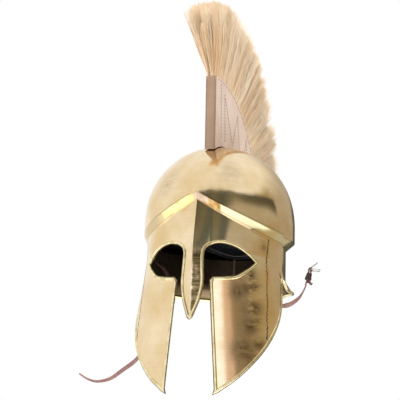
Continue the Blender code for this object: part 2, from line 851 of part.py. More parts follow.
def make_keeper(home, finish):
    """A band round both layers of the fold."""
    inner_across = STRAP + GAP / 2 + GAP
    inner_along = STRAP_WIDTH / 2 + GAP
    top = -KEEPER_BELOW_BAR
    rings = []
    for grow in (0.0, KEEPER):
        for along in (top, top - KEEPER_LENGTH):
            rings.append([
                buckle_point(along, sx * (inner_across + grow), sy * (inner_along + grow))
                for sx, sy in ((-1, -1), (1, -1), (1, 1), (-1, 1))
            ])
    order = [rings[0], rings[1], rings[3], rings[2]]
    points = [point for ring in order for point in ring]
    faces = []
    for i in range(4):
        for k in range(4):
            a = i * 4 + k
            b = i * 4 + (k + 1) % 4
            c = ((i + 1) % 4) * 4 + (k + 1) % 4
            d = ((i + 1) % 4) * 4 + k
            faces.append((a, b, c, d))
    return add("strap_keeper", mesh_from("strap_keeper", points, faces), finish, home)


def turned(along, across, degrees):
    """A point of the buckle's plane, turned about its bar."""
    angle = math.radians(degrees)
    cos = math.cos(angle)
    sin = math.sin(angle)
    return along * cos - across * sin, along * sin + across * cos


def make_frame(home, finish):
    """A closed loop of wire whose near side is the bar in the strap's fold."""
    half = STRAP_WIDTH / 2 + FRAME_SIDE_CLEARANCE + WIRE / 2
    corner = WIRE * 0.8
    flat = []
    corners = ((0, -half, 180), (0, half, 90), (FRAME_LENGTH, half, 0), (FRAME_LENGTH, -half, 270))
    for along, across, turn in corners:
        centre_along = along + (corner if along == 0 else -corner)
        centre_across = across + (corner if across < 0 else -corner)
        for step in (0, 45, 90):
            angle = math.radians(turn + 90 - step)
            flat.append((centre_along + corner * math.cos(angle), centre_across + corner * math.sin(angle)))
    points = []
    for along, bar_along in flat:
        a, b = turned(along, 0.0, FRAME_REST_ANGLE)
        points.append(buckle_point(a, b, bar_along) - place(*BUCKLE_PLACE))
    mesh = wire("buckle_frame", points, WIRE / 2, home, sides=2)
    piece = add("buckle_frame", mesh, finish, home)
    piece.location = place(*BUCKLE_PLACE)
    return piece


def make_tongue(home, finish):
    """An open hook round the bar, with a prong that lies over the frame's far side when it is shut."""
    inner = WIRE / 2 + BAR_CLEARANCE
    outer = inner + TONGUE_WIRE
    outline = [(FRAME_LENGTH + WIRE, inner), (FRAME_LENGTH + WIRE, outer)]
    for radius, first, last in ((outer, 90, HOOK_ANGLE), (inner, HOOK_ANGLE, 90)):
        for angle in steps(first, last, 11):
            outline.append((radius * math.cos(math.radians(angle)), radius * math.sin(math.radians(angle))))
    bar = buckle_axes()[0]
    points = []
    for along, across in outline:
        a, b = turned(along, -across, TONGUE_REST_ANGLE)
        points.append(buckle_point(a, b, -TONGUE_WIRE / 2) - place(*BUCKLE_PLACE))
    piece = add("buckle_tongue", prism("buckle_tongue", points, bar * TONGUE_WIRE), finish, home)
    piece.location = place(*BUCKLE_PLACE)
    return piece


def main():
    for old in list(bpy.data.objects):
        bpy.data.objects.remove(old)
    home = bpy.data.collections.new("corinthian_helmet")
    cutters = bpy.data.collections.new("cutters")
    for collection in (home, cutters):
        bpy.context.scene.collection.children.link(collection)
    brass = material("brass", (0.83, 0.64, 0.33), 0.22, 1.0)
    tan = material("tan_leather", (0.45, 0.29, 0.18), 0.7)
    pale = material("pale_leather", (0.72, 0.57, 0.49), 0.7)
    hair = material("bristle", (0.72, 0.55, 0.34), 0.6)
    strap = material("strap_leather", (0.25, 0.13, 0.12), 0.6)
    dark = material("dark_leather", (0.05, 0.03, 0.03), 0.6)
    lining = material("liner_leather", (0.05, 0.05, 0.06), 0.7)
    steel = material("steel_wire", (0.5, 0.5, 0.47), 0.35, 1.0)
    make_shell(home, cutters, brass)
    make_liner(home, lining)
    make_tie(home, strap)
    make_front_strip(home, tan)
    make_panel("crest_panel_left", 1, home, pale)
    make_panel("crest_panel_right", -1, home, pale)
    make_posts(home, steel)
    make_plume(home, hair)
    make_right_strap(home, strap)
    make_left_strap(home, cutters, strap)
    make_keeper(home, dark)
    make_frame(home, steel)
    make_tongue(home, steel)


main()
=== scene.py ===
"""The looks of a brass helmet of the Corinthian kind with a bristle crest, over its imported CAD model.

Metres, in the CAD model's frame: +Z up, the face towards -Y, the wearer's left towards +X.
"""

import math

import bmesh
import bpy
import numpy as np
from mathutils import Matrix, Vector, noise


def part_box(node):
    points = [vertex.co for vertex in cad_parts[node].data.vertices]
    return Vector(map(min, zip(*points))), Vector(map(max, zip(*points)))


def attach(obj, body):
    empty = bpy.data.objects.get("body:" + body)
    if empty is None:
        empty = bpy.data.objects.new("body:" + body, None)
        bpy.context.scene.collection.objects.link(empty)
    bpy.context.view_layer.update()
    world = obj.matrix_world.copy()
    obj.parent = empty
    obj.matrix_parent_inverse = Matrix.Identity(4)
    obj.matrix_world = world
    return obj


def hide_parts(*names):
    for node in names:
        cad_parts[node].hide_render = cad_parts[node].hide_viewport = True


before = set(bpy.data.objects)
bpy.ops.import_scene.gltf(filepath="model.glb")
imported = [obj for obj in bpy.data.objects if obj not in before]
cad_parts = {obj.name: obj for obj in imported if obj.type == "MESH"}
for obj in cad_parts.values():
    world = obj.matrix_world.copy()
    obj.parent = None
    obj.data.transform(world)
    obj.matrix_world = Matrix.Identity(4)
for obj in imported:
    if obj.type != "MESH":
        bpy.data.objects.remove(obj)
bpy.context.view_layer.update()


# The camera. The photograph was taken from a little to the wearer's left of straight ahead and slightly
# from below, with the camera turned by about a degree. EYE_LINE is the height of the helmet's eye openings.
EYE_LINE = -0.1494
CAMERA_TURN = math.radians(18.5)
CAMERA_RISE = math.radians(-9.0)
CAMERA_ROLL = math.radians(1.2)
CAMERA_DISTANCE = 1.5
METRES_PER_PIXEL = 1.32e-3
PHOTO_SIZE = 400
EYE_LINE_PIXEL = (217.5, 262.0)
SENSOR_WIDTH = 36.0


def placed(name, data):
    """A new object with this data, in the scene."""
    made = bpy.data.objects.new(name, data)
    bpy.context.scene.collection.objects.link(made)
    return made


towards_camera = Vector((
    math.sin(CAMERA_TURN) * math.cos(CAMERA_RISE),
    -math.cos(CAMERA_TURN) * math.cos(CAMERA_RISE),
    math.sin(CAMERA_RISE),
))
across = Vector((math.cos(CAMERA_TURN), math.sin(CAMERA_TURN), 0.0))
upward = towards_camera.cross(across)
pixel_x = EYE_LINE_PIXEL[0] - PHOTO_SIZE / 2
pixel_y = PHOTO_SIZE / 2 - EYE_LINE_PIXEL[1]
shift_x = pixel_x * math.cos(CAMERA_ROLL) - pixel_y * math.sin(CAMERA_ROLL)
shift_y = pixel_x * math.sin(CAMERA_ROLL) + pixel_y * math.cos(CAMERA_ROLL)
camera_x = across * math.cos(CAMERA_ROLL) + upward * math.sin(CAMERA_ROLL)
camera_y = upward * math.cos(CAMERA_ROLL) - across * math.sin(CAMERA_ROLL)
place = Vector((0, 0, EYE_LINE)) + towards_camera * CAMERA_DISTANCE
place -= (across * shift_x + upward * shift_y) * METRES_PER_PIXEL
lens = bpy.data.cameras.new("camera")
lens.sensor_width = SENSOR_WIDTH
lens.lens = SENSOR_WIDTH * CAMERA_DISTANCE / METRES_PER_PIXEL / PHOTO_SIZE
camera = placed("camera", lens)
turned = Matrix((camera_x, camera_y, towards_camera)).transposed().to_4x4()
camera.matrix_world = Matrix.Translation(place) @ turned
bpy.context.scene.camera = camera


# The studio: a pale floor well below the helmet, a white surround, and the dark and tan parts of the room
# that polished brass shows. A row of ROOM is a patch in directions from the helmet, in degrees: from one
# turn to another, from one rise to another, how soft its edge is, and its colour.
FLOOR_DROP = 1.25
FLOOR_RADIUS = 2.2
SURROUND_COLOUR = (0.97, 0.97, 0.96)
ROOM = (
    (108.0, 190.0, -36.0, 34.0, 14.0, (0.48, 0.43, 0.35)),
    (169.0, 196.0, -20.0, 13.0, 2.5, (0.10, 0.095, 0.07)),
    (68.0, 118.0, -36.0, 34.0, 5.0, (0.46, 0.37, 0.22)),
    (37.0, 69.0, -36.0, 34.0, 4.0, (0.31, 0.255, 0.19)),
    (24.0, 37.5, -36.0, 34.0, 2.5, (0.80, 0.60, 0.52)),
    (8.0, 27.0, -22.0, 34.0, 2.0, (1.30, 1.42, 1.70)),
    (-120.0, 300.0, -100.0, -29.0, 3.0, (1.10, 1.09, 1.04)),
)
ROOM_WAVE = 7.0
ROOM_WAVE_SCALE = 3.0

# A dark card curves round the front and the wearer's left close to the helmet, and only its reflection
# shows. A row gives the turn in degrees, the heights from the eye line of the card's lower edge, of the
# start of its dark part and of its upper edge, and the dark part's colour.
CARD_RADIUS = 0.45
CARD_STEP = 2.0
CARD_FADE = 0.05
CARD_TOP = 0.05
CARD_TOP_SHADE = 0.45
CARD_TOP_WAVE = 0.022
CARD_TOP_WAVE_RATE = 0.09
CARD_LOW_COLOUR = (0.47, 0.44, 0.36)
CARD = (
    (-14.0, 0.120, 0.121, 0.395, (0.090, 0.095, 0.065)),
    (4.0, 0.100, 0.101, 0.430, (0.120, 0.120, 0.080)),
    (15.0, 0.100, 0.101, 0.435, (0.210, 0.200, 0.130)),
    (20.0, 0.100, 0.101, 0.435, (0.110, 0.120, 0.090)),
    (27.0, 0.105, 0.106, 0.430, (0.085, 0.105, 0.090)),
    (33.0, 0.105, 0.170, 0.420, (0.170, 0.175, 0.130)),
    (46.0, 0.100, 0.225, 0.390, (0.260, 0.250, 0.170)),
    (60.0, 0.090, 0.200, 0.350, (0.160, 0.150, 0.095)),
    (80.0, 0.090, 0.175, 0.325, (0.115, 0.105, 0.062)),
    (96.0, 0.095, 0.165, 0.300, (0.110, 0.100, 0.060)),
    (112.0, 0.100, 0.115, 0.255, (0.115, 0.105, 0.065)),
)

# A lamp's name, its place, what it is aimed at, its width and its power
LAMPS = (
    ("soft_light_left", (-1.1, -1.0, 0.75), (0, 0, EYE_LINE), 1.0, 22.0),
    ("soft_light_top", (0.1, -0.2, 1.6), (0, 0, EYE_LINE), 1.4, 22.0),
    ("soft_light_right", (1.4, -0.3, 0.5), (0, 0, EYE_LINE), 0.5, 8.0),
    ("floor_light_left", (-0.7, 0.0, -0.7), (-0.7, 0.0, EYE_LINE - FLOOR_DROP), 1.0, 3.5),
    ("floor_light_right", (0.75, 0.3, -0.7), (0.75, 0.3, EYE_LINE - FLOOR_DROP), 1.2, 16.0),
)


def feed(tree, socket, value):
    """Gives a socket a number, a colour or a direction, or links another socket to it."""
    if isinstance(value, bpy.types.NodeSocket):
        tree.links.new(value, socket)
    elif socket.type == "RGBA":
        socket.default_value = (*value, 1)
    else:
        socket.default_value = value


def combined(tree, operation, *values):
    """One sum on one or two values."""
    made = tree.nodes.new("ShaderNodeMath")
    made.operation = operation
    for socket, value in zip(made.inputs, values):
        feed(tree, socket, value)
    return made.outputs["Value"]


def ranged(tree, value, low, high, first=0.0, last=1.0, eased=False):
    """A value spread from one range over another."""
    made = tree.nodes.new("ShaderNodeMapRange")
    if eased:
        made.interpolation_type = "SMOOTHSTEP"
    names = ("Value", "From Min", "From Max", "To Min", "To Max")
    for name, given in zip(names, (value, low, high, first, last)):
        feed(tree, made.inputs[name], given)
    return made.outputs["Result"]


def within(tree, value, low, high, soft):
    """1 between two limits and 0 past them, with soft edges."""
    rising = ranged(tree, value, low - soft, low + soft, eased=True)
    falling = ranged(tree, value, high + soft, high - soft, eased=True)
    return combined(tree, "MULTIPLY", rising, falling)


def mixed(tree, share, first, second):
    """Two colours mixed by a share. Each is a colour or a socket."""
    made = tree.nodes.new("ShaderNodeMix")
    made.data_type = "RGBA"
    for name, value in (("Factor", share), ("A", first), ("B", second)):
        feed(tree, made.inputs[name], value)
    return made.outputs["Result"]


def attribute_of(tree, name):
    """The outputs of an attribute that is stored on the mesh."""
    made = tree.nodes.new("ShaderNodeAttribute")
    made.attribute_name = name
    return made.outputs


def new_material(name, colour, roughness, metallic=0.0):
    made = bpy.data.materials.new(name)
    made.use_nodes = True
    shader = made.node_tree.nodes["Principled BSDF"]
    feed(made.node_tree, shader.inputs["Base Color"], colour)
    feed(made.node_tree, shader.inputs["Roughness"], roughness)
    feed(made.node_tree, shader.inputs["Metallic"], metallic)
    return made, made.node_tree, shader


floor_mesh = bpy.data.meshes.new("floor")
outline = bmesh.new()
bmesh.ops.create_circle(outline, cap_ends=True, segments=64, radius=FLOOR_RADIUS)
outline.to_mesh(floor_mesh)
outline.free()
floor = placed("floor", floor_mesh)
floor.location = (0, 0, EYE_LINE - FLOOR_DROP)
floor_mesh.materials.append(new_material("pale_floor", (0.86, 0.85, 0.83), 0.8)[0])

points = []
faces = []
tones = []
columns = [row[0] for row in CARD]
for i, turn in enumerate(np.arange(columns[0], columns[-1] + 1, CARD_STEP)):
    low, start, high = (np.interp(turn, columns, [row[k] for row in CARD]) for k in (1, 2, 3))
    high += CARD_TOP_WAVE * noise.noise(Vector((turn * CARD_TOP_WAVE_RATE, 0, 0)))
    tone = [np.interp(turn, columns, [row[4][k] for row in CARD]) for k in range(3)]
    top_tone = [CARD_TOP_SHADE * part for part in tone]
    angle = math.radians(turn)
    rows = (
        (low, CARD_LOW_COLOUR),
        (start, CARD_LOW_COLOUR),
        (start + CARD_FADE, tone),
        (high - CARD_TOP, top_tone),
        (high, top_tone),
    )
    for height, colour in rows:
        points.append((CARD_RADIUS * math.sin(angle), -CARD_RADIUS * math.cos(angle), height + EYE_LINE))
        tones += [*colour, 1.0]
    if i:
        for k in range(len(rows) - 1):
            b = len(rows) * i + k
            a = b - len(rows)
            faces.append((a, b, b + 1, a + 1))
card_mesh = bpy.data.meshes.new("dark_card")
card_mesh.from_pydata(points, [], faces)
card_mesh.attributes.new("tone", "FLOAT_COLOR", "POINT").data.foreach_set("color", tones)
card = placed("dark_card", card_mesh)
for seen_by in ("visible_camera", "visible_diffuse", "visible_shadow", "visible_transmission"):
    setattr(card, seen_by, False)
card_finish, tree, shader = new_material("dark_card", (0, 0, 0), 0.5)
shader.inputs["Emission Strength"].default_value = 1.0
tree.links.new(attribute_of(tree, "tone")["Color"], shader.inputs["Emission Color"])
card_mesh.materials.append(card_finish)

world = bpy.data.worlds.new("studio")
world.use_nodes = True
bpy.context.scene.world = world
sky = world.node_tree
sky.nodes.clear()
seen = sky.nodes.new("ShaderNodeTexCoord").outputs["Generated"]
axes = sky.nodes.new("ShaderNodeSeparateXYZ")
sky.links.new(seen, axes.inputs["Vector"])
uneven = sky.nodes.new("ShaderNodeTexNoise")
uneven.inputs["Scale"].default_value = ROOM_WAVE_SCALE
uneven.inputs["Detail"].default_value = 3.0
sky.links.new(seen, uneven.inputs["Vector"])
wave = combined(sky, "MULTIPLY", combined(sky, "SUBTRACT", uneven.outputs["Fac"], 0.5), ROOM_WAVE)
behind = combined(sky, "MULTIPLY", axes.outputs["Y"], -1.0)
turn = combined(sky, "MULTIPLY", combined(sky, "ARCTAN2", axes.outputs["X"], behind), math.degrees(1.0))
turn = combined(sky, "ADD", turn, wave)
past_back = combined(sky, "MULTIPLY", combined(sky, "LESS_THAN", turn, -90.0), 360.0)
turn = combined(sky, "ADD", turn, past_back)
rise = combined(sky, "MULTIPLY", combined(sky, "ARCSINE", axes.outputs["Z"]), math.degrees(1.0))
rise = combined(sky, "ADD", rise, wave)
colour = SURROUND_COLOUR
for first, last, low, high, soft, tint in ROOM:
    sides = within(sky, turn, first, last, soft)
    ends = within(sky, rise, low, high, soft)
    colour = mixed(sky, combined(sky, "MULTIPLY", sides, ends), colour, tint)
surround = sky.nodes.new("ShaderNodeBackground")
sky.links.new(colour, surround.inputs["Color"])
backdrop = sky.nodes.new("ShaderNodeBackground")
backdrop.inputs["Color"].default_value = (1, 1, 1, 1)
choose = sky.nodes.new("ShaderNodeMixShader")
sky.links.new(sky.nodes.new("ShaderNodeLightPath").outputs["Is Camera Ray"], choose.inputs["Fac"])
sky.links.new(surround.outputs["Background"], choose.inputs[1])
sky.links.new(backdrop.outputs["Background"], choose.inputs[2])
sky.links.new(choose.outputs["Shader"], sky.nodes.new("ShaderNodeOutputWorld").inputs["Surface"])

for name, spot, aim, size, power in LAMPS:
    light = bpy.data.lights.new(name, "AREA")
    light.size = size
    light.energy = power
    lamp = placed(name, light)
    lamp.location = spot
    lamp.visible_glossy = False
    lamp.rotation_euler = (Vector(aim) - Vector(spot)).to_track_quat("-Z", "Y").to_euler()
bpy.context.scene.view_settings.view_transform = "Standard"


# The helmet's shell. The real one is beaten from brass sheet a little over a millimetre thick: a round
# crown, a bright ledge folded in under it, and below that the face, cheek guards and neck guard, with a
# ridge down the brow and nasal. It is brazed together at a seam on each side, and has dulled in clouds.
DOME_HALF_WIDTH = 0.099
DOME_HALF_LENGTH = 0.108
DOME_CENTRE_Y = 0.008
DOME_SHOULDER = 0.045
CROWN_HEIGHT = 0.153
DOME_ROUNDNESS = 2.1
LEDGE_APEX = 0.080
LEDGE_SIDE = 0.027
LEDGE_BACK = 0.022
LEDGE_STRIP = 0.010
LEDGE_SWEEP = 1.75
SHEET = 0.0012
FACE_CENTRE_Y = -0.008
WAIST_HALF_WIDTH = 0.090
FACE_DEPTH = 0.089
FOREHEAD_LEAN = 0.013
FOREHEAD_CURVE = 1.2
JAW_REACH = 0.012
JAW_CURVE = 0.7
NECK_DEPTH = 0.116
CHEEK_SPREAD = 0.024
NECK_FLARE = 0.010
NECK_FLARE_HEIGHT = 0.014
KEEL_RISE = 0.0065
KEEL_HALF_WIDTH = 0.021
KEEL_FADE = 0.4
CHEEK_DROP = 0.170
CHEEK_TIP_HALF_GAP = 0.0345
CHEEK_TOP_HALF_GAP = 0.0235
NECK_DROP = 0.044
EYE_CORNER = 0.0725
EYE_TOP = 0.016
EYE_BOTTOM = 0.031
NASAL_HALF_WIDTH = 0.0110
NASAL_LENGTH = 0.0785
CUTTER_MARGIN = 0.02
# The turns between which the cheek guard's spread fades out
CHEEK_FADE = (80, 100)
# The cheek's inner edge, as shares of the way from its top to its tip
CHEEK_INNER_SHARES = (0.02, 0.05, 0.15, 0.30, 0.45, 0.60, 0.75, 0.88, 0.97)
# The turn in degrees from the face's middle, and the drop as a share of CHEEK_DROP
CHEEK_EDGE = (
    (15.7, 1.00),
    (21.0, 0.955),
    (28.3, 0.90),
    (40.3, 0.79),
    (55.0, 0.64),
    (67.6, 0.485),
    (74.2, 0.375),
    (78.7, 0.235),
    (81.0, 0.155),
)
# The turn in degrees, and the drop as a share of NECK_DROP
NECK_EDGE = (
    (85.0, 0.54),
    (91.0, 0.69),
    (97.0, 0.84),
    (104.0, 0.90),
    (115.0, 0.90),
    (130.0, 0.94),
    (150.0, 0.97),
    (180.0, 1.00),
)
# The turn in degrees, and how far the neck guard's rim stands out as a share of NECK_FLARE
NECK_SPREAD = (
    (85.0, 0.00),
    (95.0, 0.35),
    (104.0, 0.95),
    (112.0, 0.80),
    (122.0, 0.25),
    (150.0, 0.35),
    (180.0, 0.70),
)
# The eye's upper edge: how far out from nasal to corner, and the height as a share of EYE_TOP
EYE_UPPER = (
    (0.00, -0.20),
    (0.01, 0.25),
    (0.06, 0.62),
    (0.16, 0.88),
    (0.28, 0.99),
    (0.39, 1.00),
    (0.55, 0.86),
    (0.70, 0.58),
    (0.85, 0.12),
    (1.00, -0.55),
)
# The eye's lower edge: how far out from cheek to corner, and the drop as a share of EYE_BOTTOM
EYE_LOWER = (
    (0.87, 0.56),
    (0.65, 0.86),
    (0.50, 0.95),
    (0.25, 0.99),
    (0.06, 1.00),
)
# The nasal's edge: the height as a share of NASAL_LENGTH, and the half width as a share of NASAL_HALF_WIDTH
NASAL_EDGE = (
    (-0.985, 0.14),
    (-0.90, 0.37),
    (-0.75, 0.75),
    (-0.60, 1.00),
    (-0.44, 1.13),
    (-0.22, 1.05),
)
LEDGE_RIPPLE = 0.00025
LEDGE_RIPPLE_RATE = 0.35
LEDGE_DENT_RISE = 0.35
# Dents of the hammer along the ledge: the turn, how wide in degrees, and how deep in metres
LEDGE_DENTS = (
    (-22.5, 3.0, 0.0012),
    (-15.0, 2.6, 0.0014),
    (-9.5, 2.2, 0.0008),
    (7.5, 3.0, -0.0008),
    (17.0, 1.6, 0.0016),
    (52.0, 7.0, 0.0005),
)
# The ledge between its two folds is painted brighter and yellower than the rest as a painted highlight, and
# in places with the colours it reflects as a painted reflection: from one turn to another, its colour
LEDGE_FOLD = 0.0004
LEDGE_PAINTED_REFLECTIONS = (
    (-180.0, -27.0, (0.72, 0.57, 0.33)),
    (-27.0, -1.5, (0.88, 0.75, 0.34)),
    (-1.5, 9.0, (0.80, 0.60, 0.44)),
    (9.0, 17.5, (0.58, 0.39, 0.17)),
    (17.5, 180.0, (0.93, 0.83, 0.52)),
)
# Dark patches, partly tarnish and partly painted dark reflections of the room, such as the blotches on the
# wearer's left cheek: the turn in degrees, the height from the eye line, the radius and how dark
TARNISH_AND_PAINTED_REFLECTIONS = (
    (44.0, -0.026, 0.010, 1.00),
    (47.5, -0.038, 0.009, 0.90),
    (41.0, -0.042, 0.009, 0.75),
    (34.5, -0.046, 0.009, 0.85),
    (46.5, -0.066, 0.011, 0.95),
    (49.5, -0.082, 0.007, 0.65),
    (44.5, -0.088, 0.011, 0.85),
    (50.0, -0.110, 0.009, 0.80),
    (37.5, -0.117, 0.013, 0.85),
    (42.5, -0.124, 0.010, 0.80),
    (4.5, 0.010, 0.006, 0.70),
    (60.0, 0.012, 0.006, 0.50),
    (24.0, 0.060, 0.010, 0.30),
    (-33.0, 0.093, 0.016, 0.25),
    (30.0, 0.106, 0.018, 0.22),
    (150.0, 0.070, 0.026, 0.40),
    (-120.0, 0.000, 0.020, 0.45),
    (-70.0, -0.040, 0.015, 0.30),
    (170.0, -0.020, 0.018, 0.40),
)
# The nasal's left flank is painted dark all over, a painted dark reflection of the room: from one turn to
# another, from one height to another
NASAL_PAINTED_REFLECTION = (0.7, 9.0, -0.080, 0.004, 1.15)
COLUMNS = 240
DOME_ROWS = 48
STRIP_ROWS = 6
FACE_ROWS = 60
SHARP_ANGLE = 22.0
HALVINGS = 40


def smooth(low, high, value):
    share = min(1.0, max(0.0, (value - low) / (high - low)))
    return share * share * (3 - 2 * share)


def read(table, key):
    """The second column of a table, between its rows, at a value of the first."""
    if key <= table[0][0]:
        return table[0][1]
    for (a, first), (b, second) in zip(table, table[1:]):
        if key <= b:
            return first + (second - first) * (key - a) / (b - a)
    return table[-1][1]


def curve_value(t, a, b, c, d):
    """A share of the way from b to c, on a smooth curve through all four."""
    square = (2 * a - 5 * b + 4 * c - d) * t ** 2
    return 0.5 * (2 * b + (c - a) * t + square + (3 * b - a - 3 * c + d) * t ** 3)


def curve_through(points, steps):
    """Points along a smooth curve that passes through the given ones."""
    found = []
    for i in range(len(points) - 1):
        before = points[max(0, i - 1)]
        start = points[i]
        end = points[i + 1]
        after = points[min(len(points) - 1, i + 2)]
        for k in range(steps):
            found.append(tuple(curve_value(k / steps, *near) for near in zip(before, start, end, after)))
    found.append(tuple(points[-1]))
    return found


SMOOTH_CHEEK = curve_through(CHEEK_EDGE, 4)
SMOOTH_NECK = curve_through(NECK_EDGE, 4)
SMOOTH_SPREAD = curve_through(NECK_SPREAD, 4)


def from_eye_line(x, y, height):
    return Vector((x, y, height + EYE_LINE))


def ledge_height(turn):
    turn = abs(turn)
    if turn < 90:
        return LEDGE_SIDE + (LEDGE_APEX - LEDGE_SIDE) * (1 - turn / 90) ** LEDGE_SWEEP
    return LEDGE_SIDE - (LEDGE_SIDE - LEDGE_BACK) * smooth(90, 180, turn)


def crown_point(turn, height, inset=0.0):
    rise = max(0.0, height - DOME_SHOULDER) / (CROWN_HEIGHT - inset - DOME_SHOULDER)
    share = max(0.0, 1 - rise ** DOME_ROUNDNESS) ** (1 / DOME_ROUNDNESS)
    angle = math.radians(turn)
    x = (DOME_HALF_WIDTH - inset) * math.sin(angle) * share
    y = DOME_CENTRE_Y - (DOME_HALF_LENGTH - inset) * math.cos(angle) * share
    return x, y, height


def edge_height(turn):
    """The height of the sheet's lower edge, from the cheek's tip round to the nape."""
    away = abs(turn)
    last = CHEEK_EDGE[-1]
    first = NECK_EDGE[0]
    if away <= last[0]:
        return -CHEEK_DROP * read(SMOOTH_CHEEK, away)
    if away >= first[0]:
        return -NECK_DROP * read(SMOOTH_NECK, away)
    share = (away - last[0]) / (first[0] - last[0])
    return -CHEEK_DROP * last[1] * (1 - share) - NECK_DROP * first[1] * share


def face_point(turn, height):
    away = abs(turn)
    low = max(0.0, -height) / CHEEK_DROP
    cheek = 1 - smooth(*CHEEK_FADE, away)
    flare_top = edge_height(max(NECK_EDGE[0][0], away)) + NECK_FLARE_HEIGHT
    below = max(0.0, flare_top - height) / NECK_FLARE_HEIGHT
    flare = NECK_FLARE * read(SMOOTH_SPREAD, away) * below
    half_width = WAIST_HALF_WIDTH + CHEEK_SPREAD * low * cheek + flare
    if away <= 90:
        depth = FACE_DEPTH + JAW_REACH * low ** JAW_CURVE
        depth -= FOREHEAD_LEAN * (max(0.0, height) / LEDGE_APEX) ** FOREHEAD_CURVE
    else:
        depth = NECK_DEPTH + flare
    angle = math.radians(turn)
    x = half_width * math.sin(angle)
    y = FACE_CENTRE_Y - depth * math.cos(angle)
    if away < 90:
        fade = 1 - KEEL_FADE * smooth(0.0, LEDGE_APEX, height)
        y -= KEEL_RISE * fade * max(0.0, 1 - abs(x) / KEEL_HALF_WIDTH)
    return x, y, height


def turn_at(x, height):
    """The turn at which the face's outside is at a given side distance, found by halving."""
    low = 0.0
    high = 89.0
    for _ in range(HALVINGS):
        middle = (low + high) / 2
        if face_point(middle, height)[0] < abs(x):
            low = middle
        else:
            high = middle
    return math.copysign(low, x)


def opening_edge():
    """Half of the front opening, side and height: up the nasal, round the eye and down the cheek."""
    nasal = [(NASAL_HALF_WIDTH * width, NASAL_LENGTH * height) for height, width in NASAL_EDGE]
    reach = EYE_CORNER - NASAL_HALF_WIDTH
    upper = [(NASAL_HALF_WIDTH + reach * out, EYE_TOP * up) for out, up in EYE_UPPER]
    lower_reach = EYE_CORNER - CHEEK_TOP_HALF_GAP
    lower = [(CHEEK_TOP_HALF_GAP + lower_reach * out, -EYE_BOTTOM * down) for out, down in EYE_LOWER]
    cheek = []
    for share in CHEEK_INNER_SHARES:
        x = CHEEK_TOP_HALF_GAP + (CHEEK_TIP_HALF_GAP - CHEEK_TOP_HALF_GAP) * share
        cheek.append((x, -EYE_BOTTOM - (CHEEK_DROP - EYE_BOTTOM) * share))
    inner = curve_through(nasal + upper, 5)
    outer = curve_through([upper[-1]] + lower, 5)[1:]
    return [(0.0, -NASAL_LENGTH)] + inner + outer + cheek


def ledge_dent(turn):
    """How far the hammer has pushed the ledge in at this turn."""
    depth = LEDGE_RIPPLE * noise.noise(Vector((turn * LEDGE_RIPPLE_RATE, 0, 0)))
    for middle, width, deep in LEDGE_DENTS:
        depth += deep * math.exp(-((turn - middle) / width) ** 2)
    return depth


def band_faces(first, around, rows, closed=False):
    """Faces between rows of points, each row a ring. Closed, the last row joins the first."""
    faces = []
    for row in range(rows if closed else rows - 1):
        a = first + row * around
        b = first + (row + 1) % rows * around
        for k in range(around):
            after = (k + 1) % around
            faces.append((a + k, a + after, b + after, b + k))
    return faces


def mesh_of(name, points, faces, sharp=SHARP_ANGLE):
    mesh = bpy.data.meshes.new(name)
    mesh.from_pydata([tuple(point) for point in points], [], faces)
    tidy = bmesh.new()
    tidy.from_mesh(mesh)
    bmesh.ops.recalc_face_normals(tidy, faces=tidy.faces)
    tidy.to_mesh(mesh)
    tidy.free()
    mesh.shade_smooth()
    mesh.set_sharp_from_angle(angle=math.radians(sharp))
    return mesh


def add(name, mesh, finishes, body="root"):
    """Adds a piece that rides on a body, with its finishes in order."""
    piece = placed(name, mesh)
    for finish in finishes:
        mesh.materials.append(finish)
    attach(piece, body)
    return piece


def baked(piece):
    """The mesh of a piece with its modifiers applied."""
    bpy.context.view_layer.update()
    return bpy.data.meshes.new_from_object(piece.evaluated_get(bpy.context.evaluated_depsgraph_get()))


def pushed(name, outline, way):
    """A flat outline pushed to a thickness, as a closed mesh."""
    shape = bmesh.new()
    flat = shape.faces.new([shape.verts.new(point) for point in outline])
    moved = bmesh.ops.extrude_face_region(shape, geom=[flat])["geom"]
    corners = [part for part in moved if isinstance(part, bmesh.types.BMVert)]
    bmesh.ops.translate(shape, verts=corners, vec=way)
    bmesh.ops.recalc_face_normals(shape, faces=shape.faces)
    mesh = bpy.data.meshes.new(name)
    shape.to_mesh(mesh)
    shape.free()
    return mesh


turns = [360.0 * k / COLUMNS for k in range(COLUMNS)]
turns = [turn if turn <= 180 else turn - 360 for turn in turns]
points = [from_eye_line(0.0, DOME_CENTRE_Y, CROWN_HEIGHT)]
for row in range(1, DOME_ROWS + 1):
    fall = math.cos(math.pi / 2 * row / DOME_ROWS)
    for turn in turns:
        edge = ledge_height(turn)
        points.append(from_eye_line(*crown_point(turn, edge + (CROWN_HEIGHT - edge) * fall)))
for row in range(1, STRIP_ROWS):
    share = row / STRIP_ROWS
    for turn in turns:
        edge = ledge_height(turn)
        high = from_eye_line(*crown_point(turn, edge))
        low = from_eye_line(*face_point(turn, edge - LEDGE_STRIP))
        inward = Vector((-math.sin(math.radians(turn)), math.cos(math.radians(turn)), LEDGE_DENT_RISE))
        points.append(high.lerp(low, share) + inward * (ledge_dent(turn) * math.sin(math.pi * share)))
for row in range(FACE_ROWS + 1):
    for turn in turns:
        top = ledge_height(turn) - LEDGE_STRIP
        points.append(from_eye_line(*face_point(turn, top + (edge_height(turn) - top) * row / FACE_ROWS)))
rows = DOME_ROWS + STRIP_ROWS - 1 + FACE_ROWS + 1
faces = [(0, 1 + (k + 1) % COLUMNS, 1 + k) for k in range(COLUMNS)]
faces += band_faces(1, COLUMNS, rows)
sheet = placed("sheet", mesh_of("sheet", points, faces))
for _ in range(2):
    sheet.data.materials.append(None)
wall = sheet.modifiers.new("wall", "SOLIDIFY")
wall.thickness = SHEET
wall.offset = -1.0
wall.use_even_offset = True
wall.material_offset = 1
half = opening_edge()
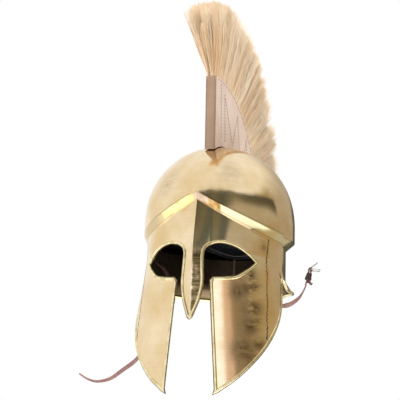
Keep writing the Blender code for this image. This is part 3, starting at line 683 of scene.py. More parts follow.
below = -CHEEK_DROP - CUTTER_MARGIN
outline = half + [(CHEEK_TIP_HALF_GAP, below), (-CHEEK_TIP_HALF_GAP, below)]
outline += [(-x, height) for x, height in reversed(half[1:])]
near = FACE_CENTRE_Y - FACE_DEPTH - JAW_REACH - KEEL_RISE - CUTTER_MARGIN
far = FACE_CENTRE_Y - FACE_DEPTH / 2
outline = [from_eye_line(x, near, height) for x, height in outline]
cutter = placed("front_opening", pushed("front_opening", outline, (0, far - near, 0)))
cut = sheet.modifiers.new("front_opening", "BOOLEAN")
cut.object = cutter
cut.operation = "DIFFERENCE"
cut.solver = "EXACT"
shell_mesh = baked(sheet)
for used in (sheet, cutter):
    bpy.data.objects.remove(used)
shell_mesh.shade_smooth()
shell_mesh.set_sharp_from_angle(angle=math.radians(SHARP_ANGLE))

shell_mesh.attributes.new("ledge", "FLOAT_COLOR", "POINT")
shell_mesh.attributes.new("tarnish_and_painted_reflection", "FLOAT", "POINT")
coordinates = np.empty(len(shell_mesh.vertices) * 3)
shell_mesh.vertices.foreach_get("co", coordinates)
coordinates = coordinates.reshape(-1, 3)
at_turn = np.degrees(np.arctan2(coordinates[:, 0], -(coordinates[:, 1] - FACE_CENTRE_Y)))
at_height = coordinates[:, 2] - EYE_LINE
# How dark each point is painted: tarnish and painted dark reflections, and the nasal flank's painted dark
# reflection
darkness = np.zeros(len(coordinates))
for turn, height, radius, strength in TARNISH_AND_PAINTED_REFLECTIONS:
    aside = np.radians((at_turn - turn + 180) % 360 - 180) * FACE_DEPTH
    distance = (aside ** 2 + (at_height - height) ** 2) / radius ** 2
    darkness = np.maximum(darkness, strength * np.exp(-distance))
# The nasal flank's painted dark reflection
first, last, low, high, strength = NASAL_PAINTED_REFLECTION
flank = (at_turn > first) & (at_turn < last) & (at_height > low) & (at_height < high)
darkness[flank] = np.maximum(darkness[flank], strength)
shell_mesh.attributes["tarnish_and_painted_reflection"].data.foreach_set("value", darkness.astype(np.float32))
# The points on the ledge between its folds, which take its painted highlight and painted reflections
crown_turn = np.degrees(np.arctan2(coordinates[:, 0], -(coordinates[:, 1] - DOME_CENTRE_Y)))
over_ledge = np.array([ledge_height(turn) for turn in crown_turn]) - at_height
on_ledge = (over_ledge > LEDGE_FOLD) & (over_ledge < LEDGE_STRIP - LEDGE_FOLD)
colours = np.zeros((len(coordinates), 4))
for first, last, colour in LEDGE_PAINTED_REFLECTIONS:
    colours[on_ledge & (crown_turn > first) & (crown_turn <= last)] = (*colour, 1.0)
shell_mesh.attributes["ledge"].data.foreach_set("color", colours.astype(np.float32).reshape(-1))


def new_group(name, inputs, outputs):
    """A shader node group: an input's name, kind and usual value, and an output's name and kind."""
    made = bpy.data.node_groups.new(name, "ShaderNodeTree")
    for socket, kind, value in inputs:
        added = made.interface.new_socket(socket, in_out="INPUT", socket_type=kind)
        added.default_value = value
    for socket, kind in outputs:
        made.interface.new_socket(socket, in_out="OUTPUT", socket_type=kind)
    return made, made.nodes.new("NodeGroupInput").outputs, made.nodes.new("NodeGroupOutput").inputs


def in_group(tree, group, **values):
    """The outputs of a group placed in a material with its own values."""
    made = tree.nodes.new("ShaderNodeGroup")
    made.node_tree = group
    for name, value in values.items():
        feed(tree, made.inputs[name], value)
    return made.outputs


def noise_of(tree, stretch, scale, detail, roughness):
    """A noise over the object's own place, stretched by a factor on each axis."""
    where = tree.nodes.new("ShaderNodeTexCoord")
    move = tree.nodes.new("ShaderNodeMapping")
    feed(tree, move.inputs["Scale"], stretch)
    tree.links.new(where.outputs["Object"], move.inputs["Vector"])
    made = tree.nodes.new("ShaderNodeTexNoise")
    for name, value in (("Scale", scale), ("Detail", detail), ("Roughness", roughness)):
        feed(tree, made.inputs[name], value)
    tree.links.new(move.outputs["Vector"], made.inputs["Vector"])
    return made.outputs["Fac"]


def bumped(tree, shader, height, strength, distance):
    bump = tree.nodes.new("ShaderNodeBump")
    bump.inputs["Strength"].default_value = strength
    bump.inputs["Distance"].default_value = distance
    tree.links.new(height, bump.inputs["Height"])
    tree.links.new(bump.outputs["Normal"], shader.inputs["Normal"])


# Two colours in clouds: the first where the cloud is under Low, the second where it is over High
cloudy, given, put_out = new_group(
    "cloudy_tint",
    (
        ("First", "NodeSocketColor", (1, 1, 1, 1)),
        ("Second", "NodeSocketColor", (0, 0, 0, 1)),
        ("Stretch", "NodeSocketVector", (1, 1, 1)),
        ("Scale", "NodeSocketFloat", 20.0),
        ("Detail", "NodeSocketFloat", 4.0),
        ("Unevenness", "NodeSocketFloat", 0.55),
        ("Low", "NodeSocketFloat", 0.35),
        ("High", "NodeSocketFloat", 0.65),
    ),
    (("Colour", "NodeSocketColor"), ("Cloud", "NodeSocketFloat")),
)
cloud = noise_of(cloudy, given["Stretch"], given["Scale"], given["Detail"], given["Unevenness"])
share = ranged(cloudy, cloud, given["Low"], given["High"])
cloudy.links.new(mixed(cloudy, share, given["First"], given["Second"]), put_out["Colour"])
cloudy.links.new(cloud, put_out["Cloud"])

brass, tree, shader = new_material("polished_brass", (0.84, 0.66, 0.39), 0.14, 1.0)
brass_colours = {"First": (0.93, 0.76, 0.51), "Second": (0.80, 0.585, 0.30), "Low": 0.36, "High": 0.64}
clouds = in_group(tree, cloudy, Scale=16.0, Detail=5.0, Unevenness=0.6, **brass_colours)
swirls = in_group(tree, cloudy, Stretch=(1, 1, 2.2), Scale=55.0, Detail=6.0, Unevenness=0.7)["Cloud"]
brushed = in_group(tree, cloudy, Stretch=(6, 6, 900), Scale=1.0, Detail=3.0, Unevenness=0.6)["Cloud"]
# The dark patches, partly tarnish and partly painted dark reflections, darken the brass in broken clouds and
# bring out its brushed streaks; where they pass 1, on the nasal flank, the painted dark reflection darkens it
# all over.
mark = attribute_of(tree, "tarnish_and_painted_reflection")["Fac"]
tint = mixed(tree, ranged(tree, mark, 1.0, 1.1), clouds["Colour"], (0.40, 0.29, 0.14))
broken = combined(tree, "MULTIPLY", mark, ranged(tree, swirls, 0.38, 0.52, 0.15, 1.1))
tint = mixed(tree, broken, tint, (0.12, 0.085, 0.036))
rubbed = combined(tree, "ADD", combined(tree, "MULTIPLY", mark, 0.6), 0.05)
streaks = combined(tree, "MULTIPLY", ranged(tree, brushed, 0.42, 0.66), rubbed)
tint = mixed(tree, streaks, tint, (0.42, 0.29, 0.13))
# The ledge's painted highlight and painted reflections replace the colour between its folds.
painted_ledge_light = attribute_of(tree, "ledge")
tree.links.new(mixed(tree, painted_ledge_light["Alpha"], tint, painted_ledge_light["Color"]), shader.inputs["Base Color"])
gloss = ranged(tree, clouds["Cloud"], 0.35, 0.65, 0.09, 0.19)
gloss = combined(tree, "ADD", gloss, combined(tree, "MULTIPLY", broken, 0.25))
tree.links.new(gloss, shader.inputs["Roughness"])
relief = combined(tree, "MULTIPLY", brushed, 0.5)
relief = combined(tree, "ADD", relief, combined(tree, "MULTIPLY", swirls, 0.35))
bumped(tree, shader, relief, 0.10, 0.0006)

# The inside: unpolished brass, painted dark all over as a painted shade.
shaded_inside_brass, tree, shader = new_material("dull_brass_painted_shade", (0.12, 0.085, 0.05), 0.5, 1.0)
inside_painted_shade_colours = {"First": (0.085, 0.062, 0.040), "Second": (0.042, 0.030, 0.019)}
clouds = in_group(tree, cloudy, Scale=22.0, Detail=5.0, Unevenness=0.65, **inside_painted_shade_colours)
where = tree.nodes.new("ShaderNodeTexCoord")
parts = tree.nodes.new("ShaderNodeSeparateXYZ")
tree.links.new(where.outputs["Object"], parts.inputs["Vector"])
# Painted light: lighter low down towards the back, where light comes in under the rim.
painted_rim_light = ranged(tree, parts.outputs["Z"], EYE_LINE - 0.020, EYE_LINE - 0.036)
painted_rim_light = combined(tree, "MULTIPLY", painted_rim_light, ranged(tree, parts.outputs["Y"], 0.04, 0.08))
tint = mixed(tree, painted_rim_light, clouds["Colour"], (0.62, 0.48, 0.29))
tree.links.new(tint, shader.inputs["Base Color"])
bumped(tree, shader, clouds["Cloud"], 0.25, 0.0008)

shell = placed("helmet_sheet", shell_mesh)
shell_mesh.materials[0] = brass
shell_mesh.materials[1] = shaded_inside_brass
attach(shell, "root")
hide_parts("helmet_shell")


# The edging. A half-round brass wire is brazed along the sheet's whole edge: round both eyes, the nasal,
# the cheek guards and the neck guard. Dark solder and polish sit in the corner between wire and sheet,
# painted darker still as a painted shade in that corner.
EDGING_SIDE = 0.0020
SOLDER_AND_SHADE_WIDTH = 0.0009
LOWER_START = 16.5
LOWER_STEPS = 110
TURN_STEP = 0.5
HEIGHT_STEP = 0.0005


def on_sheet(turn, height):
    """A point on the sheet's outside, and the direction out of it there."""
    point = from_eye_line(*face_point(turn, height))
    beyond = from_eye_line(*face_point(turn + TURN_STEP, height))
    above = from_eye_line(*face_point(turn, height + HEIGHT_STEP))
    return point, (beyond - point).cross(above - point).normalized()


edge = [[on_sheet(turn_at(side * x, height), height) for x, height in half] for side in (1, -1)]
lower_turns = [LOWER_START + (180 - LOWER_START) * k / LOWER_STEPS for k in range(LOWER_STEPS + 1)]
lower_turns += [-turn for turn in reversed(lower_turns[:-1])]
lower = [on_sheet(turn, edge_height(turn)) for turn in lower_turns]
loop = edge[0] + lower + list(reversed(edge[1][1:]))

# The wire's section: the distance from the sheet's edge into the sheet, the height over it, and its finish
SECTION = (
    (EDGING_SIDE + SOLDER_AND_SHADE_WIDTH, 0.00006, 1),
    (EDGING_SIDE, 0.00012, 1),
    (EDGING_SIDE * 0.97, 0.00055, 0),
    (EDGING_SIDE * 0.80, 0.00105, 0),
    (EDGING_SIDE * 0.45, 0.00145, 0),
    (0.0, 0.00160, 0),
    (-EDGING_SIDE * 0.45, 0.00130, 0),
    (-EDGING_SIDE * 0.80, 0.00060, 0),
    (-EDGING_SIDE * 0.92, -SHEET / 2, 0),
    (-EDGING_SIDE * 0.80, -SHEET - 0.00055, 0),
    (-EDGING_SIDE * 0.30, -SHEET - 0.00125, 0),
    (EDGING_SIDE * 0.30, -SHEET - 0.00125, 0),
    (EDGING_SIDE * 0.85, -SHEET - 0.00060, 0),
    (EDGING_SIDE, -SHEET - 0.00005, 0),
)


def swept(name, track, section, sharp=35.0):
    """A closed band along a loop of points and outward directions, with the sheet to one side of it."""
    count = len(track)
    spread = []
    for i in range(count):
        ahead = (track[(i + 1) % count][0] - track[i - 1][0]).normalized()
        spread.append(ahead.cross(track[i][1]).normalized())
    points = []
    for i in range(count):
        before = (track[i][0] - track[i - 1][0]).normalized()
        after = (track[(i + 1) % count][0] - track[i][0]).normalized()
        stretch = min(1.6, 1 / max(0.5, math.cos(before.angle(after) / 2)))
        for into, over, _ in section:
            points.append(track[i][0] + spread[i] * (into * stretch) + track[i][1] * over)
    width = len(section)
    finish = [1 if section[k][2] and section[(k + 1) % width][2] else 0 for k in range(width)] * count
    mesh = mesh_of(name, points, band_faces(0, width, count, closed=True), sharp)
    mesh.polygons.foreach_set("material_index", finish)
    return mesh


def tinted(name, colour, roughness, metallic, bump=0.0, scuffed=None, **values):
    """A finish in two cloudy colours. The clouds can also raise it and spread its roughness."""
    made, tree, shader = new_material(name, colour, roughness, metallic)
    clouds = in_group(tree, cloudy, **values)
    tree.links.new(clouds["Colour"], shader.inputs["Base Color"])
    if bump:
        bumped(tree, shader, clouds["Cloud"], bump, 0.0004)
    if scuffed:
        tree.links.new(ranged(tree, clouds["Cloud"], *scuffed), shader.inputs["Roughness"])
    return made


edging_colours = {"First": (0.94, 0.84, 0.52), "Second": (0.66, 0.52, 0.26), "Low": 0.40, "High": 0.68}
edging_clouds = {"Scale": 90.0, "Unevenness": 0.6, **edging_colours}
bright_brass = tinted("edging_brass", (0.85, 0.70, 0.38), 0.22, 1.0, 0.2, **edging_clouds)
# The strip in the corner beside the wire: solder, and a painted shade where wire meets sheet
solder_and_shade_colours = {"First": (0.07, 0.05, 0.02), "Second": (0.26, 0.19, 0.09), "Low": 0.4}
solder_and_painted_shade = tinted("dark_solder_painted_shade", (0.16, 0.12, 0.05), 0.6, 0.6, Scale=160.0, Detail=3.0, **solder_and_shade_colours)

edging = add("edging_wire", swept("edging_wire", loop, SECTION), (bright_brass, solder_and_painted_shade))


# The seams. The helmet is made of halves whose edges are cut into small teeth, hammered together and
# brazed. The joint shows as a thin dark toothed line down each side.
SEAM_TURN = 63.0
SEAM_LEAN = 75.0
SEAM_WIDTH = 0.0026
TOOTH_LENGTH = 0.0052
TOOTH_DEPTH = 0.0011
TOOTH_JITTER = 0.35
SEAM_SWAY = 0.0009
SEAM_LIFT = 0.00007
SEAM_TOP = 0.031
SEAM_FOOT = -0.095
SEAM_ABOVE_EDGING = 0.0035
SEAM_STATIONS = 150

seam_colours = {"First": (0.055, 0.030, 0.012), "Second": (0.22, 0.13, 0.05), "Low": 0.4}
seam_solder = tinted("seam_solder", (0.10, 0.06, 0.025), 0.6, 0.4, Scale=160.0, Detail=3.0, **seam_colours)

for side, name in ((1, "seam_left"), (-1, "seam_right")):
    points = []
    faces = []
    lowest = edge_height(SEAM_TURN + SEAM_LEAN * SEAM_FOOT) + SEAM_ABOVE_EDGING
    for k in range(SEAM_STATIONS + 1):
        height = SEAM_TOP + (lowest - SEAM_TOP) * k / SEAM_STATIONS
        turn = SEAM_TURN + SEAM_LEAN * height
        jitter = TOOTH_JITTER * noise.noise(Vector((height * 90, side, 0)))
        tooth = abs((height / TOOTH_LENGTH + jitter) % 1.0 - 0.5) * 2
        sway = SEAM_SWAY * noise.noise(Vector((height * 60, side, 3)))
        shift = TOOTH_DEPTH * (smooth(0.3, 0.7, tooth) - 0.5) + sway
        width = SEAM_WIDTH * (0.60 + 0.5 * noise.noise(Vector((height * 240, side, 7))))
        width += SEAM_WIDTH * 0.9 * max(0.0, noise.noise(Vector((height * 45, side, 11))))
        for edge_side in (-1, 1):
            away = turn + math.degrees((shift + edge_side * width / 2) / FACE_DEPTH)
            point = from_eye_line(*face_point(side * away, height))
            outward = Vector((point.x, point.y - FACE_CENTRE_Y, 0)).normalized()
            points.append(point + outward * SEAM_LIFT)
        if k:
            faces.append((2 * k - 2, 2 * k - 1, 2 * k + 1, 2 * k))
    seam = add(name, mesh_of(name, points, faces), (seam_solder,))


# The crest holder. A strip of tan leather stands at the front, and two crescents of pale leather run
# from it over the crown to the back, with the bristles between them. They are sewn along the edge and
# in long slanting rows with dark thread.
CREST_CENTRE_Y = -0.020
CREST_CENTRE_HEIGHT = 0.043
HOLDER_RADIUS = 0.200
HOLDER_WIDTH = 0.014
HOLDER_FRONT_Y = -0.043
HOLDER_END_ANGLE = 95.0
GAP = 0.0004
LEATHER = 0.002
STITCH_LENGTH = 0.0030
STITCH_SPACING = 0.0044
THREAD_RADIUS = 0.00038
THREAD_SIDES = 6
# A stitch's section along its length, as a share of STITCH_LENGTH, and its lift in thread radii
STITCH_RISE = ((-0.5, -0.6), (-0.32, 0.5), (0.0, 0.75), (0.32, 0.5), (0.5, -0.6))
EDGE_SEWING = 0.0032
STRIP_SEWING = 0.0012
CROWN_SEAT = 0.0006
PANEL_ROUNDING = 0.0005
ARC_STEPS = 60
# Rows of stitches on a panel, from one point to the next: depth and height from the eye line
STITCH_ROWS = (
    ((-0.0205, 0.2370), (-0.0165, 0.1585)),
    ((-0.0035, 0.2270), (0.0005, 0.1580)),
    ((-0.0010, 0.2215), (0.0362, 0.1625), (0.0579, 0.2110), (0.0704, 0.1560)),
    ((0.0873, 0.1420), (0.1016, 0.1868), (0.1144, 0.1250), (0.1370, 0.1480), (0.1380, 0.0850)),
    ((0.1560, 0.1050), (0.1600, 0.0480)),
)


def crest_point(angle, radius, x=0.0):
    turn = math.radians(angle)
    y = CREST_CENTRE_Y + radius * math.sin(turn)
    return from_eye_line(x, y, CREST_CENTRE_HEIGHT + radius * math.cos(turn))


def crown_radius(angle):
    """How far the crown's outside is from the crest's centre, in the middle plane."""
    turn = math.radians(angle)
    low = 0.0
    high = HOLDER_RADIUS
    for _ in range(HALVINGS):
        middle = (low + high) / 2
        y = CREST_CENTRE_Y + middle * math.sin(turn) - DOME_CENTRE_Y
        over_shoulder = max(0.0, CREST_CENTRE_HEIGHT + middle * math.cos(turn) - DOME_SHOULDER)
        rise = over_shoulder / (CROWN_HEIGHT - DOME_SHOULDER)
        if (abs(y) / DOME_HALF_LENGTH) ** DOME_ROUNDNESS + rise ** DOME_ROUNDNESS < 1:
            low = middle
        else:
            high = middle
    return low


def stitches(name, rows, outward):
    """Short threads in rows over a surface, each dipping into it at both ends."""
    points = []
    faces = []
    for row in rows:
        for start, end in zip(row, row[1:]):
            reach = (end - start).length
            along = (end - start).normalized()
            side = along.cross(outward).normalized()
            for k in range(int(reach / STITCH_SPACING)):
                middle = start + along * (STITCH_SPACING * (k + 0.5))
                first = len(points)
                for share, over in STITCH_RISE:
                    centre = middle + along * (STITCH_LENGTH * share) + outward * (THREAD_RADIUS * over)
                    for step in range(THREAD_SIDES):
                        angle = 2 * math.pi * step / THREAD_SIDES
                        ring = side * math.cos(angle) + outward * math.sin(angle)
                        points.append(centre + ring * THREAD_RADIUS)
                last = len(points) - THREAD_SIDES
                faces += band_faces(first, THREAD_SIDES, len(STITCH_RISE))
                faces += [tuple(range(start_of, start_of + THREAD_SIDES)) for start_of in (first, last)]
    return mesh_of(name, points, faces, 60.0)


# Leather's surface: a fine pebbled grain, mottled colour and soft creases
leather_grain, given, put_out = new_group(
    "leather_grain",
    (
        ("Colour", "NodeSocketColor", (1, 1, 1, 1)),
        ("Deep", "NodeSocketColor", (0, 0, 0, 1)),
        ("Roughness", "NodeSocketFloat", 0.6),
        ("Grain", "NodeSocketFloat", 520.0),
        ("Mottle", "NodeSocketFloat", 26.0),
    ),
    (("Colour", "NodeSocketColor"), ("Roughness", "NodeSocketFloat"), ("Height", "NodeSocketFloat")),
)
patches = noise_of(leather_grain, (1, 1, 1), given["Mottle"], 5.0, 0.6)
tint = mixed(leather_grain, ranged(leather_grain, patches, 0.35, 0.68), given["Colour"], given["Deep"])
pebbles = leather_grain.nodes.new("ShaderNodeTexVoronoi")
leather_grain.links.new(given["Grain"], pebbles.inputs["Scale"])
where = leather_grain.nodes.new("ShaderNodeTexCoord")
leather_grain.links.new(where.outputs["Object"], pebbles.inputs["Vector"])
creases = combined(leather_grain, "MULTIPLY", patches, 0.8)
smoother = combined(leather_grain, "SUBTRACT", given["Roughness"], 0.08)
rougher = combined(leather_grain, "ADD", given["Roughness"], 0.12)
leather_grain.links.new(tint, put_out["Colour"])
leather_grain.links.new(ranged(leather_grain, patches, 0.3, 0.7, smoother, rougher), put_out["Roughness"])
height = combined(leather_grain, "ADD", pebbles.outputs["Distance"], creases)
leather_grain.links.new(height, put_out["Height"])


def leather(name, colour, deep, roughness, **values):
    """A leather finish, from its colour, the colour of its darker patches, and its grain."""
    made, tree, shader = new_material(name, colour, roughness)
    grained = in_group(tree, leather_grain, Colour=colour, Deep=deep, Roughness=roughness, **values)
    tree.links.new(grained["Colour"], shader.inputs["Base Color"])
    tree.links.new(grained["Roughness"], shader.inputs["Roughness"])
    bumped(tree, shader, grained["Height"], 0.35, 0.0005)
    return made


def bevelled(name, outline, way):
    """A flat outline pushed to a thickness, with its edges rounded, as a mesh."""
    piece = placed(name, pushed(name, outline, way))
    rounding = piece.modifiers.new("rounding", "BEVEL")
    rounding.width = PANEL_ROUNDING
    rounding.segments = 3
    rounding.limit_method = "ANGLE"
    rounding.angle_limit = math.radians(50)
    made = baked(piece)
    bpy.data.objects.remove(piece)
    made.shade_smooth()
    made.set_sharp_from_angle(angle=math.radians(40))
    return made


pale_leather = leather("natural_leather", (0.735, 0.60, 0.53), (0.62, 0.48, 0.40), 0.62)
tan_leather = leather("tan_leather", (0.33, 0.22, 0.145), (0.27, 0.17, 0.11), 0.6)
thread_colours = {"First": (0.12, 0.09, 0.08), "Second": (0.24, 0.19, 0.16), "Low": 0.0, "High": 1.0}
thread = tinted("dark_thread", (0.16, 0.12, 0.10), 0.8, 0.0, Scale=900.0, Detail=2.0, **thread_colours)

start_y = HOLDER_FRONT_Y + LEATHER + GAP
start_angle = math.degrees(math.asin((start_y - CREST_CENTRE_Y) / HOLDER_RADIUS))
foot = -60.0
while CREST_CENTRE_Y + crown_radius(foot) * math.sin(math.radians(foot)) < start_y:
    foot += 1.0
arc = [start_angle + (HOLDER_END_ANGLE - start_angle) * k / ARC_STEPS for k in range(ARC_STEPS + 1)]
rim = [crest_point(angle, HOLDER_RADIUS) for angle in arc]
crown_side = []
for k in range(ARC_STEPS + 1):
    angle = HOLDER_END_ANGLE + (foot - HOLDER_END_ANGLE) * k / ARC_STEPS
    crown_side.append(crest_point(angle, crown_radius(angle) + GAP + CROWN_SEAT))
crown_side[-1].y = start_y
for side, name in ((1, "left"), (-1, "right")):
    x = side * (HOLDER_WIDTH / 2 - LEATHER)
    outline = [Vector((x, point.y, point.z)) for point in rim + crown_side]
    panel_mesh = bevelled("holder_panel_" + name, outline, (side * LEATHER, 0, 0))
    panel = add("holder_panel_" + name, panel_mesh, (pale_leather,))
    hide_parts("crest_panel_" + name)
    surface = side * HOLDER_WIDTH / 2
    rows = [[from_eye_line(surface, y, height) for y, height in row] for row in STITCH_ROWS]
    rows.append([crest_point(angle, HOLDER_RADIUS - EDGE_SEWING, surface) for angle in arc[1:-1:2]])
    sewn = stitches("panel_stitches_" + name, rows, Vector((side, 0, 0)))
    sewing = add("panel_stitches_" + name, sewn, (thread,))

strip_low, strip_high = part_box("crest_front_strip")
outline = [
    Vector((strip_low.x, strip_low.y, strip_low.z)),
    Vector((strip_high.x, strip_low.y, strip_low.z)),
    Vector((strip_high.x, strip_low.y, strip_high.z)),
    Vector((strip_low.x, strip_low.y, strip_high.z)),
]
strip = add("holder_front", bevelled("holder_front", outline, (0, LEATHER, 0)), (tan_leather,))
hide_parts("crest_front_strip")
rows = []
for side in (-1, 1):
    x = side * (HOLDER_WIDTH / 2 - STRIP_SEWING)
    rows.append([
        Vector((x, strip_low.y, strip_low.z + LEATHER)),
        Vector((x, strip_low.y, strip_high.z - LEATHER)),
    ])
sewing = add("strip_stitches", stitches("strip_stitches", rows, Vector((0, -1, 0))), (thread,))


# The crest's posts. Two plain steel posts stand on the crown and reach up between the panels to the
# bristles' backing, out of sight under the hair.
steel_colours = {"First": (0.62, 0.62, 0.58), "Second": (0.44, 0.43, 0.39), "Low": 0.0, "High": 1.0}
steel_clouds = {"Scale": 700.0, "Detail": 3.0, "scuffed": (0.35, 0.7, 0.22, 0.45), **steel_colours}
steel = tinted("steel_wire", (0.56, 0.56, 0.52), 0.3, 1.0, **steel_clouds)
for node in ("crest_post_front", "crest_post_rear"):
    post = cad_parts[node]
    post.data.materials.clear()
    post.data.materials.append(steel)


# The plume. Stiff straw-coloured bristles are set in tufts in the slot between the panels and fan out,
# leaning forward at the front. The tufts at the front are a deeper gold, and the tips are uneven.
HAIR_LENGTH = 0.102
PLUME_HALF_WIDTH = 0.022
FRONT_LEAN = 8.5
TUFTS = 420
STRANDS_PER_TUFT = 46
BRISTLE_RADIUS = 0.00034
HAIR_SEGMENTS = 5
HAIR_SEED = 11
HAIR_ROOT_DEPTH = 0.010
# Each tuft is set this share of the slot's width further across than the one before it
TUFT_SHIFT = 0.618034
PLUME_PARTS = 3
# The angle from straight up, and the hair's reach past the holder as a share of HAIR_LENGTH
HAIR_REACH = (
    (-6.0, 0.79),
    (-2.0, 0.94),
    (4.0, 0.98),
    (12.0, 1.00),
    (30.0, 0.98),
    (45.0, 0.94),
    (60.0, 0.80),
    (80.0, 0.67),
    (95.0, 0.53),
)

hair, tree, shader = new_material("bristle", (0.72, 0.55, 0.34), 0.55)
tint = mixed(tree, attribute_of(tree, "shade")["Fac"], (0.80, 0.57, 0.35), (1.0, 0.90, 0.72))
tint = mixed(tree, attribute_of(tree, "gold")["Fac"], tint, (0.84, 0.50, 0.21))
tree.links.new(tint, shader.inputs["Base Color"])
shader.inputs["Specular IOR Level"].default_value = 0.35

chance = np.random.default_rng(HAIR_SEED)
root_half = HOLDER_WIDTH / 2 - LEATHER - GAP
for part in range(PLUME_PARTS):
    count = TUFTS // PLUME_PARTS
    share = (np.arange(count) + chance.uniform(-0.4, 0.4, count) + part * count + 0.5) / TUFTS
    share = np.clip(share, 0.0, 1.0)
    tuft_angle = start_angle + 0.6 + (HOLDER_END_ANGLE - start_angle - 1.4) * share
    tuft_side = (np.arange(count) * TUFT_SHIFT + chance.uniform(-0.1, 0.1, count)) % 1.0 * 2 - 1
    tuft_shade = chance.uniform(0.25, 0.90, count)
    owner = np.repeat(np.arange(count), STRANDS_PER_TUFT)
    strands = len(owner)
    angle = tuft_angle[owner] + chance.normal(0, 0.55, strands)
    angle = np.clip(angle, start_angle + 0.3, HOLDER_END_ANGLE - 0.4)
    along = (angle - start_angle) / (HOLDER_END_ANGLE - start_angle)
    front = 1 - np.clip(along / 0.25, 0, 1)
    front = front * front * (3 - 2 * front)
    side = np.clip(tuft_side[owner] + chance.normal(0, 0.14, strands), -1.05, 1.05)
    reach = np.interp(angle, [row[0] for row in HAIR_REACH], [row[1] for row in HAIR_REACH]) * HAIR_LENGTH
    reach *= (1.0 + chance.normal(0, 0.012, count))[owner] - np.abs(chance.normal(0, 0.028, strands))
    reach *= 1.0 + 0.030 * (chance.uniform(0, 1, strands) > 0.93)
    reach *= 1.0 - 0.05 * np.abs(side) ** 3
    lean = -FRONT_LEAN * front + chance.normal(0, 0.7, count)[owner] + chance.normal(0, 0.6, strands)
    root_x = np.clip(side * root_half * 0.92, -root_half, root_half)
    tip_x = side * PLUME_HALF_WIDTH + chance.normal(0, 0.0016, strands)
    bend = chance.normal(0, 0.0012, (strands, 2))
    rings = []
    for k in range(HAIR_SEGMENTS + 1):
        t = k / HAIR_SEGMENTS
        out = t ** 0.95
        past_edge = max(0.0, out - 0.09) / 0.91
        here = np.radians(angle + lean * out ** 1.3)
        from_centre = HOLDER_RADIUS - HAIR_ROOT_DEPTH + (reach + HAIR_ROOT_DEPTH) * out
        swell = math.sin(math.pi * t)
        x = root_x + (tip_x - root_x) * (1 - (1 - past_edge) ** 1.12) + bend[:, 0] * swell
        y = CREST_CENTRE_Y + from_centre * np.sin(here) + bend[:, 1] * swell
        z = EYE_LINE + CREST_CENTRE_HEIGHT + from_centre * np.cos(here)
        thick = BRISTLE_RADIUS * (1.0 if t < 0.5 else 1.0 - 0.55 * (t - 0.5) / 0.5)
        ring = []
        for corner in range(3):
            round_it = 2 * math.pi * corner / 3
            aside = thick * math.cos(round_it)
            ahead = thick * math.sin(round_it)
            ring.append(np.stack([x + aside, y + ahead * np.cos(here), z - ahead * np.sin(here)], axis=1))
        rings.append(np.stack(ring, axis=1))
    body = np.stack(rings, axis=1).reshape(-1, 3)
    size = (HAIR_SEGMENTS + 1) * 3
    quads = []
    for k in range(HAIR_SEGMENTS):
        for corner in range(3):
            after = (corner + 1) % 3
            quads.append((k * 3 + corner, k * 3 + after, k * 3 + 3 + after, k * 3 + 3 + corner))
    quads = np.array(quads)
    loops = (np.arange(strands)[:, None, None] * size + quads[None]).reshape(-1)
    mesh = bpy.data.meshes.new(f"bristles_{part + 1}")
    mesh.vertices.add(len(body))
    mesh.vertices.foreach_set("co", body.astype(np.float32).reshape(-1))
    mesh.loops.add(len(loops))
    mesh.loops.foreach_set("vertex_index", loops.astype(np.int32))
    mesh.polygons.add(len(loops) // 4)
    mesh.polygons.foreach_set("loop_start", np.arange(0, len(loops), 4, dtype=np.int32))
    mesh.update(calc_edges=True)
    mesh.shade_smooth()
    heights = np.tile(np.repeat(np.linspace(0, 1, HAIR_SEGMENTS + 1), 3), strands)
    strand_shade = tuft_shade[owner] + chance.normal(0, 0.13, strands)
    shades = np.repeat(strand_shade, size) + 0.22 * heights - 0.12
    front_root = np.repeat(np.clip(1 - along / 0.10, 0, 1) * chance.uniform(0.2, 1.0, strands), size)
    golds = 0.75 * front_root * np.exp(-((heights - 0.35) / 0.42) ** 2)
    for name, values in (("shade", shades), ("gold", golds)):
        attribute = mesh.attributes.new(name, "FLOAT", "POINT")
        attribute.data.foreach_set("value", np.clip(values, 0, 1).astype(np.float32))
    bristles = add(f"bristles_{part + 1}", mesh, (hair,))
    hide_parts("plume")

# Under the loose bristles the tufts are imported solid, which a plain core with the same lean stands for. Its
# section: a share of the hair's reach, and half its width there.
CORE_SECTION = ((-0.05, 0.0042), (0.25, 0.0075), (0.55, 0.0105), (0.78, 0.0060))
CORE_ORDER = (0, 2, 4, 6, 7, 5, 3, 1)
CORE_RINGS = 60
points = []
faces = []
for k in range(CORE_RINGS + 1):
    share = k / CORE_RINGS
    angle = start_angle + 1.2 + (HOLDER_END_ANGLE - start_angle - 2.6) * share
    lean = -FRONT_LEAN * (1 - smooth(0.0, 0.25, share))
    reach = HAIR_LENGTH * read(HAIR_REACH, angle)
    for out, half_width in CORE_SECTION:
        leaned = angle + lean * max(0, out)
        for side in (-1, 1):
            points.append(crest_point(leaned, HOLDER_RADIUS + reach * out, side * half_width))
around = len(CORE_ORDER)
for k in range(CORE_RINGS):
    for i in range(around):
        a = k * around + CORE_ORDER[i]
        b = k * around + CORE_ORDER[(i + 1) % around]
        faces.append((a, b, b + around, a + around))
faces.append(CORE_ORDER)
faces.append(tuple(CORE_RINGS * around + i for i in CORE_ORDER))
core_colours = {"First": (0.62, 0.42, 0.22), "Second": (0.92, 0.74, 0.50), "Unevenness": 0.6}
core_clouds = {"Stretch": (160, 8, 8), "Scale": 1.0, **core_colours}
core_finish = tinted("packed_bristle", (0.45, 0.31, 0.17), 0.8, 0.0, **core_clouds)
core = add("bristle_core", mesh_of("bristle_core", points, faces), (core_finish,))


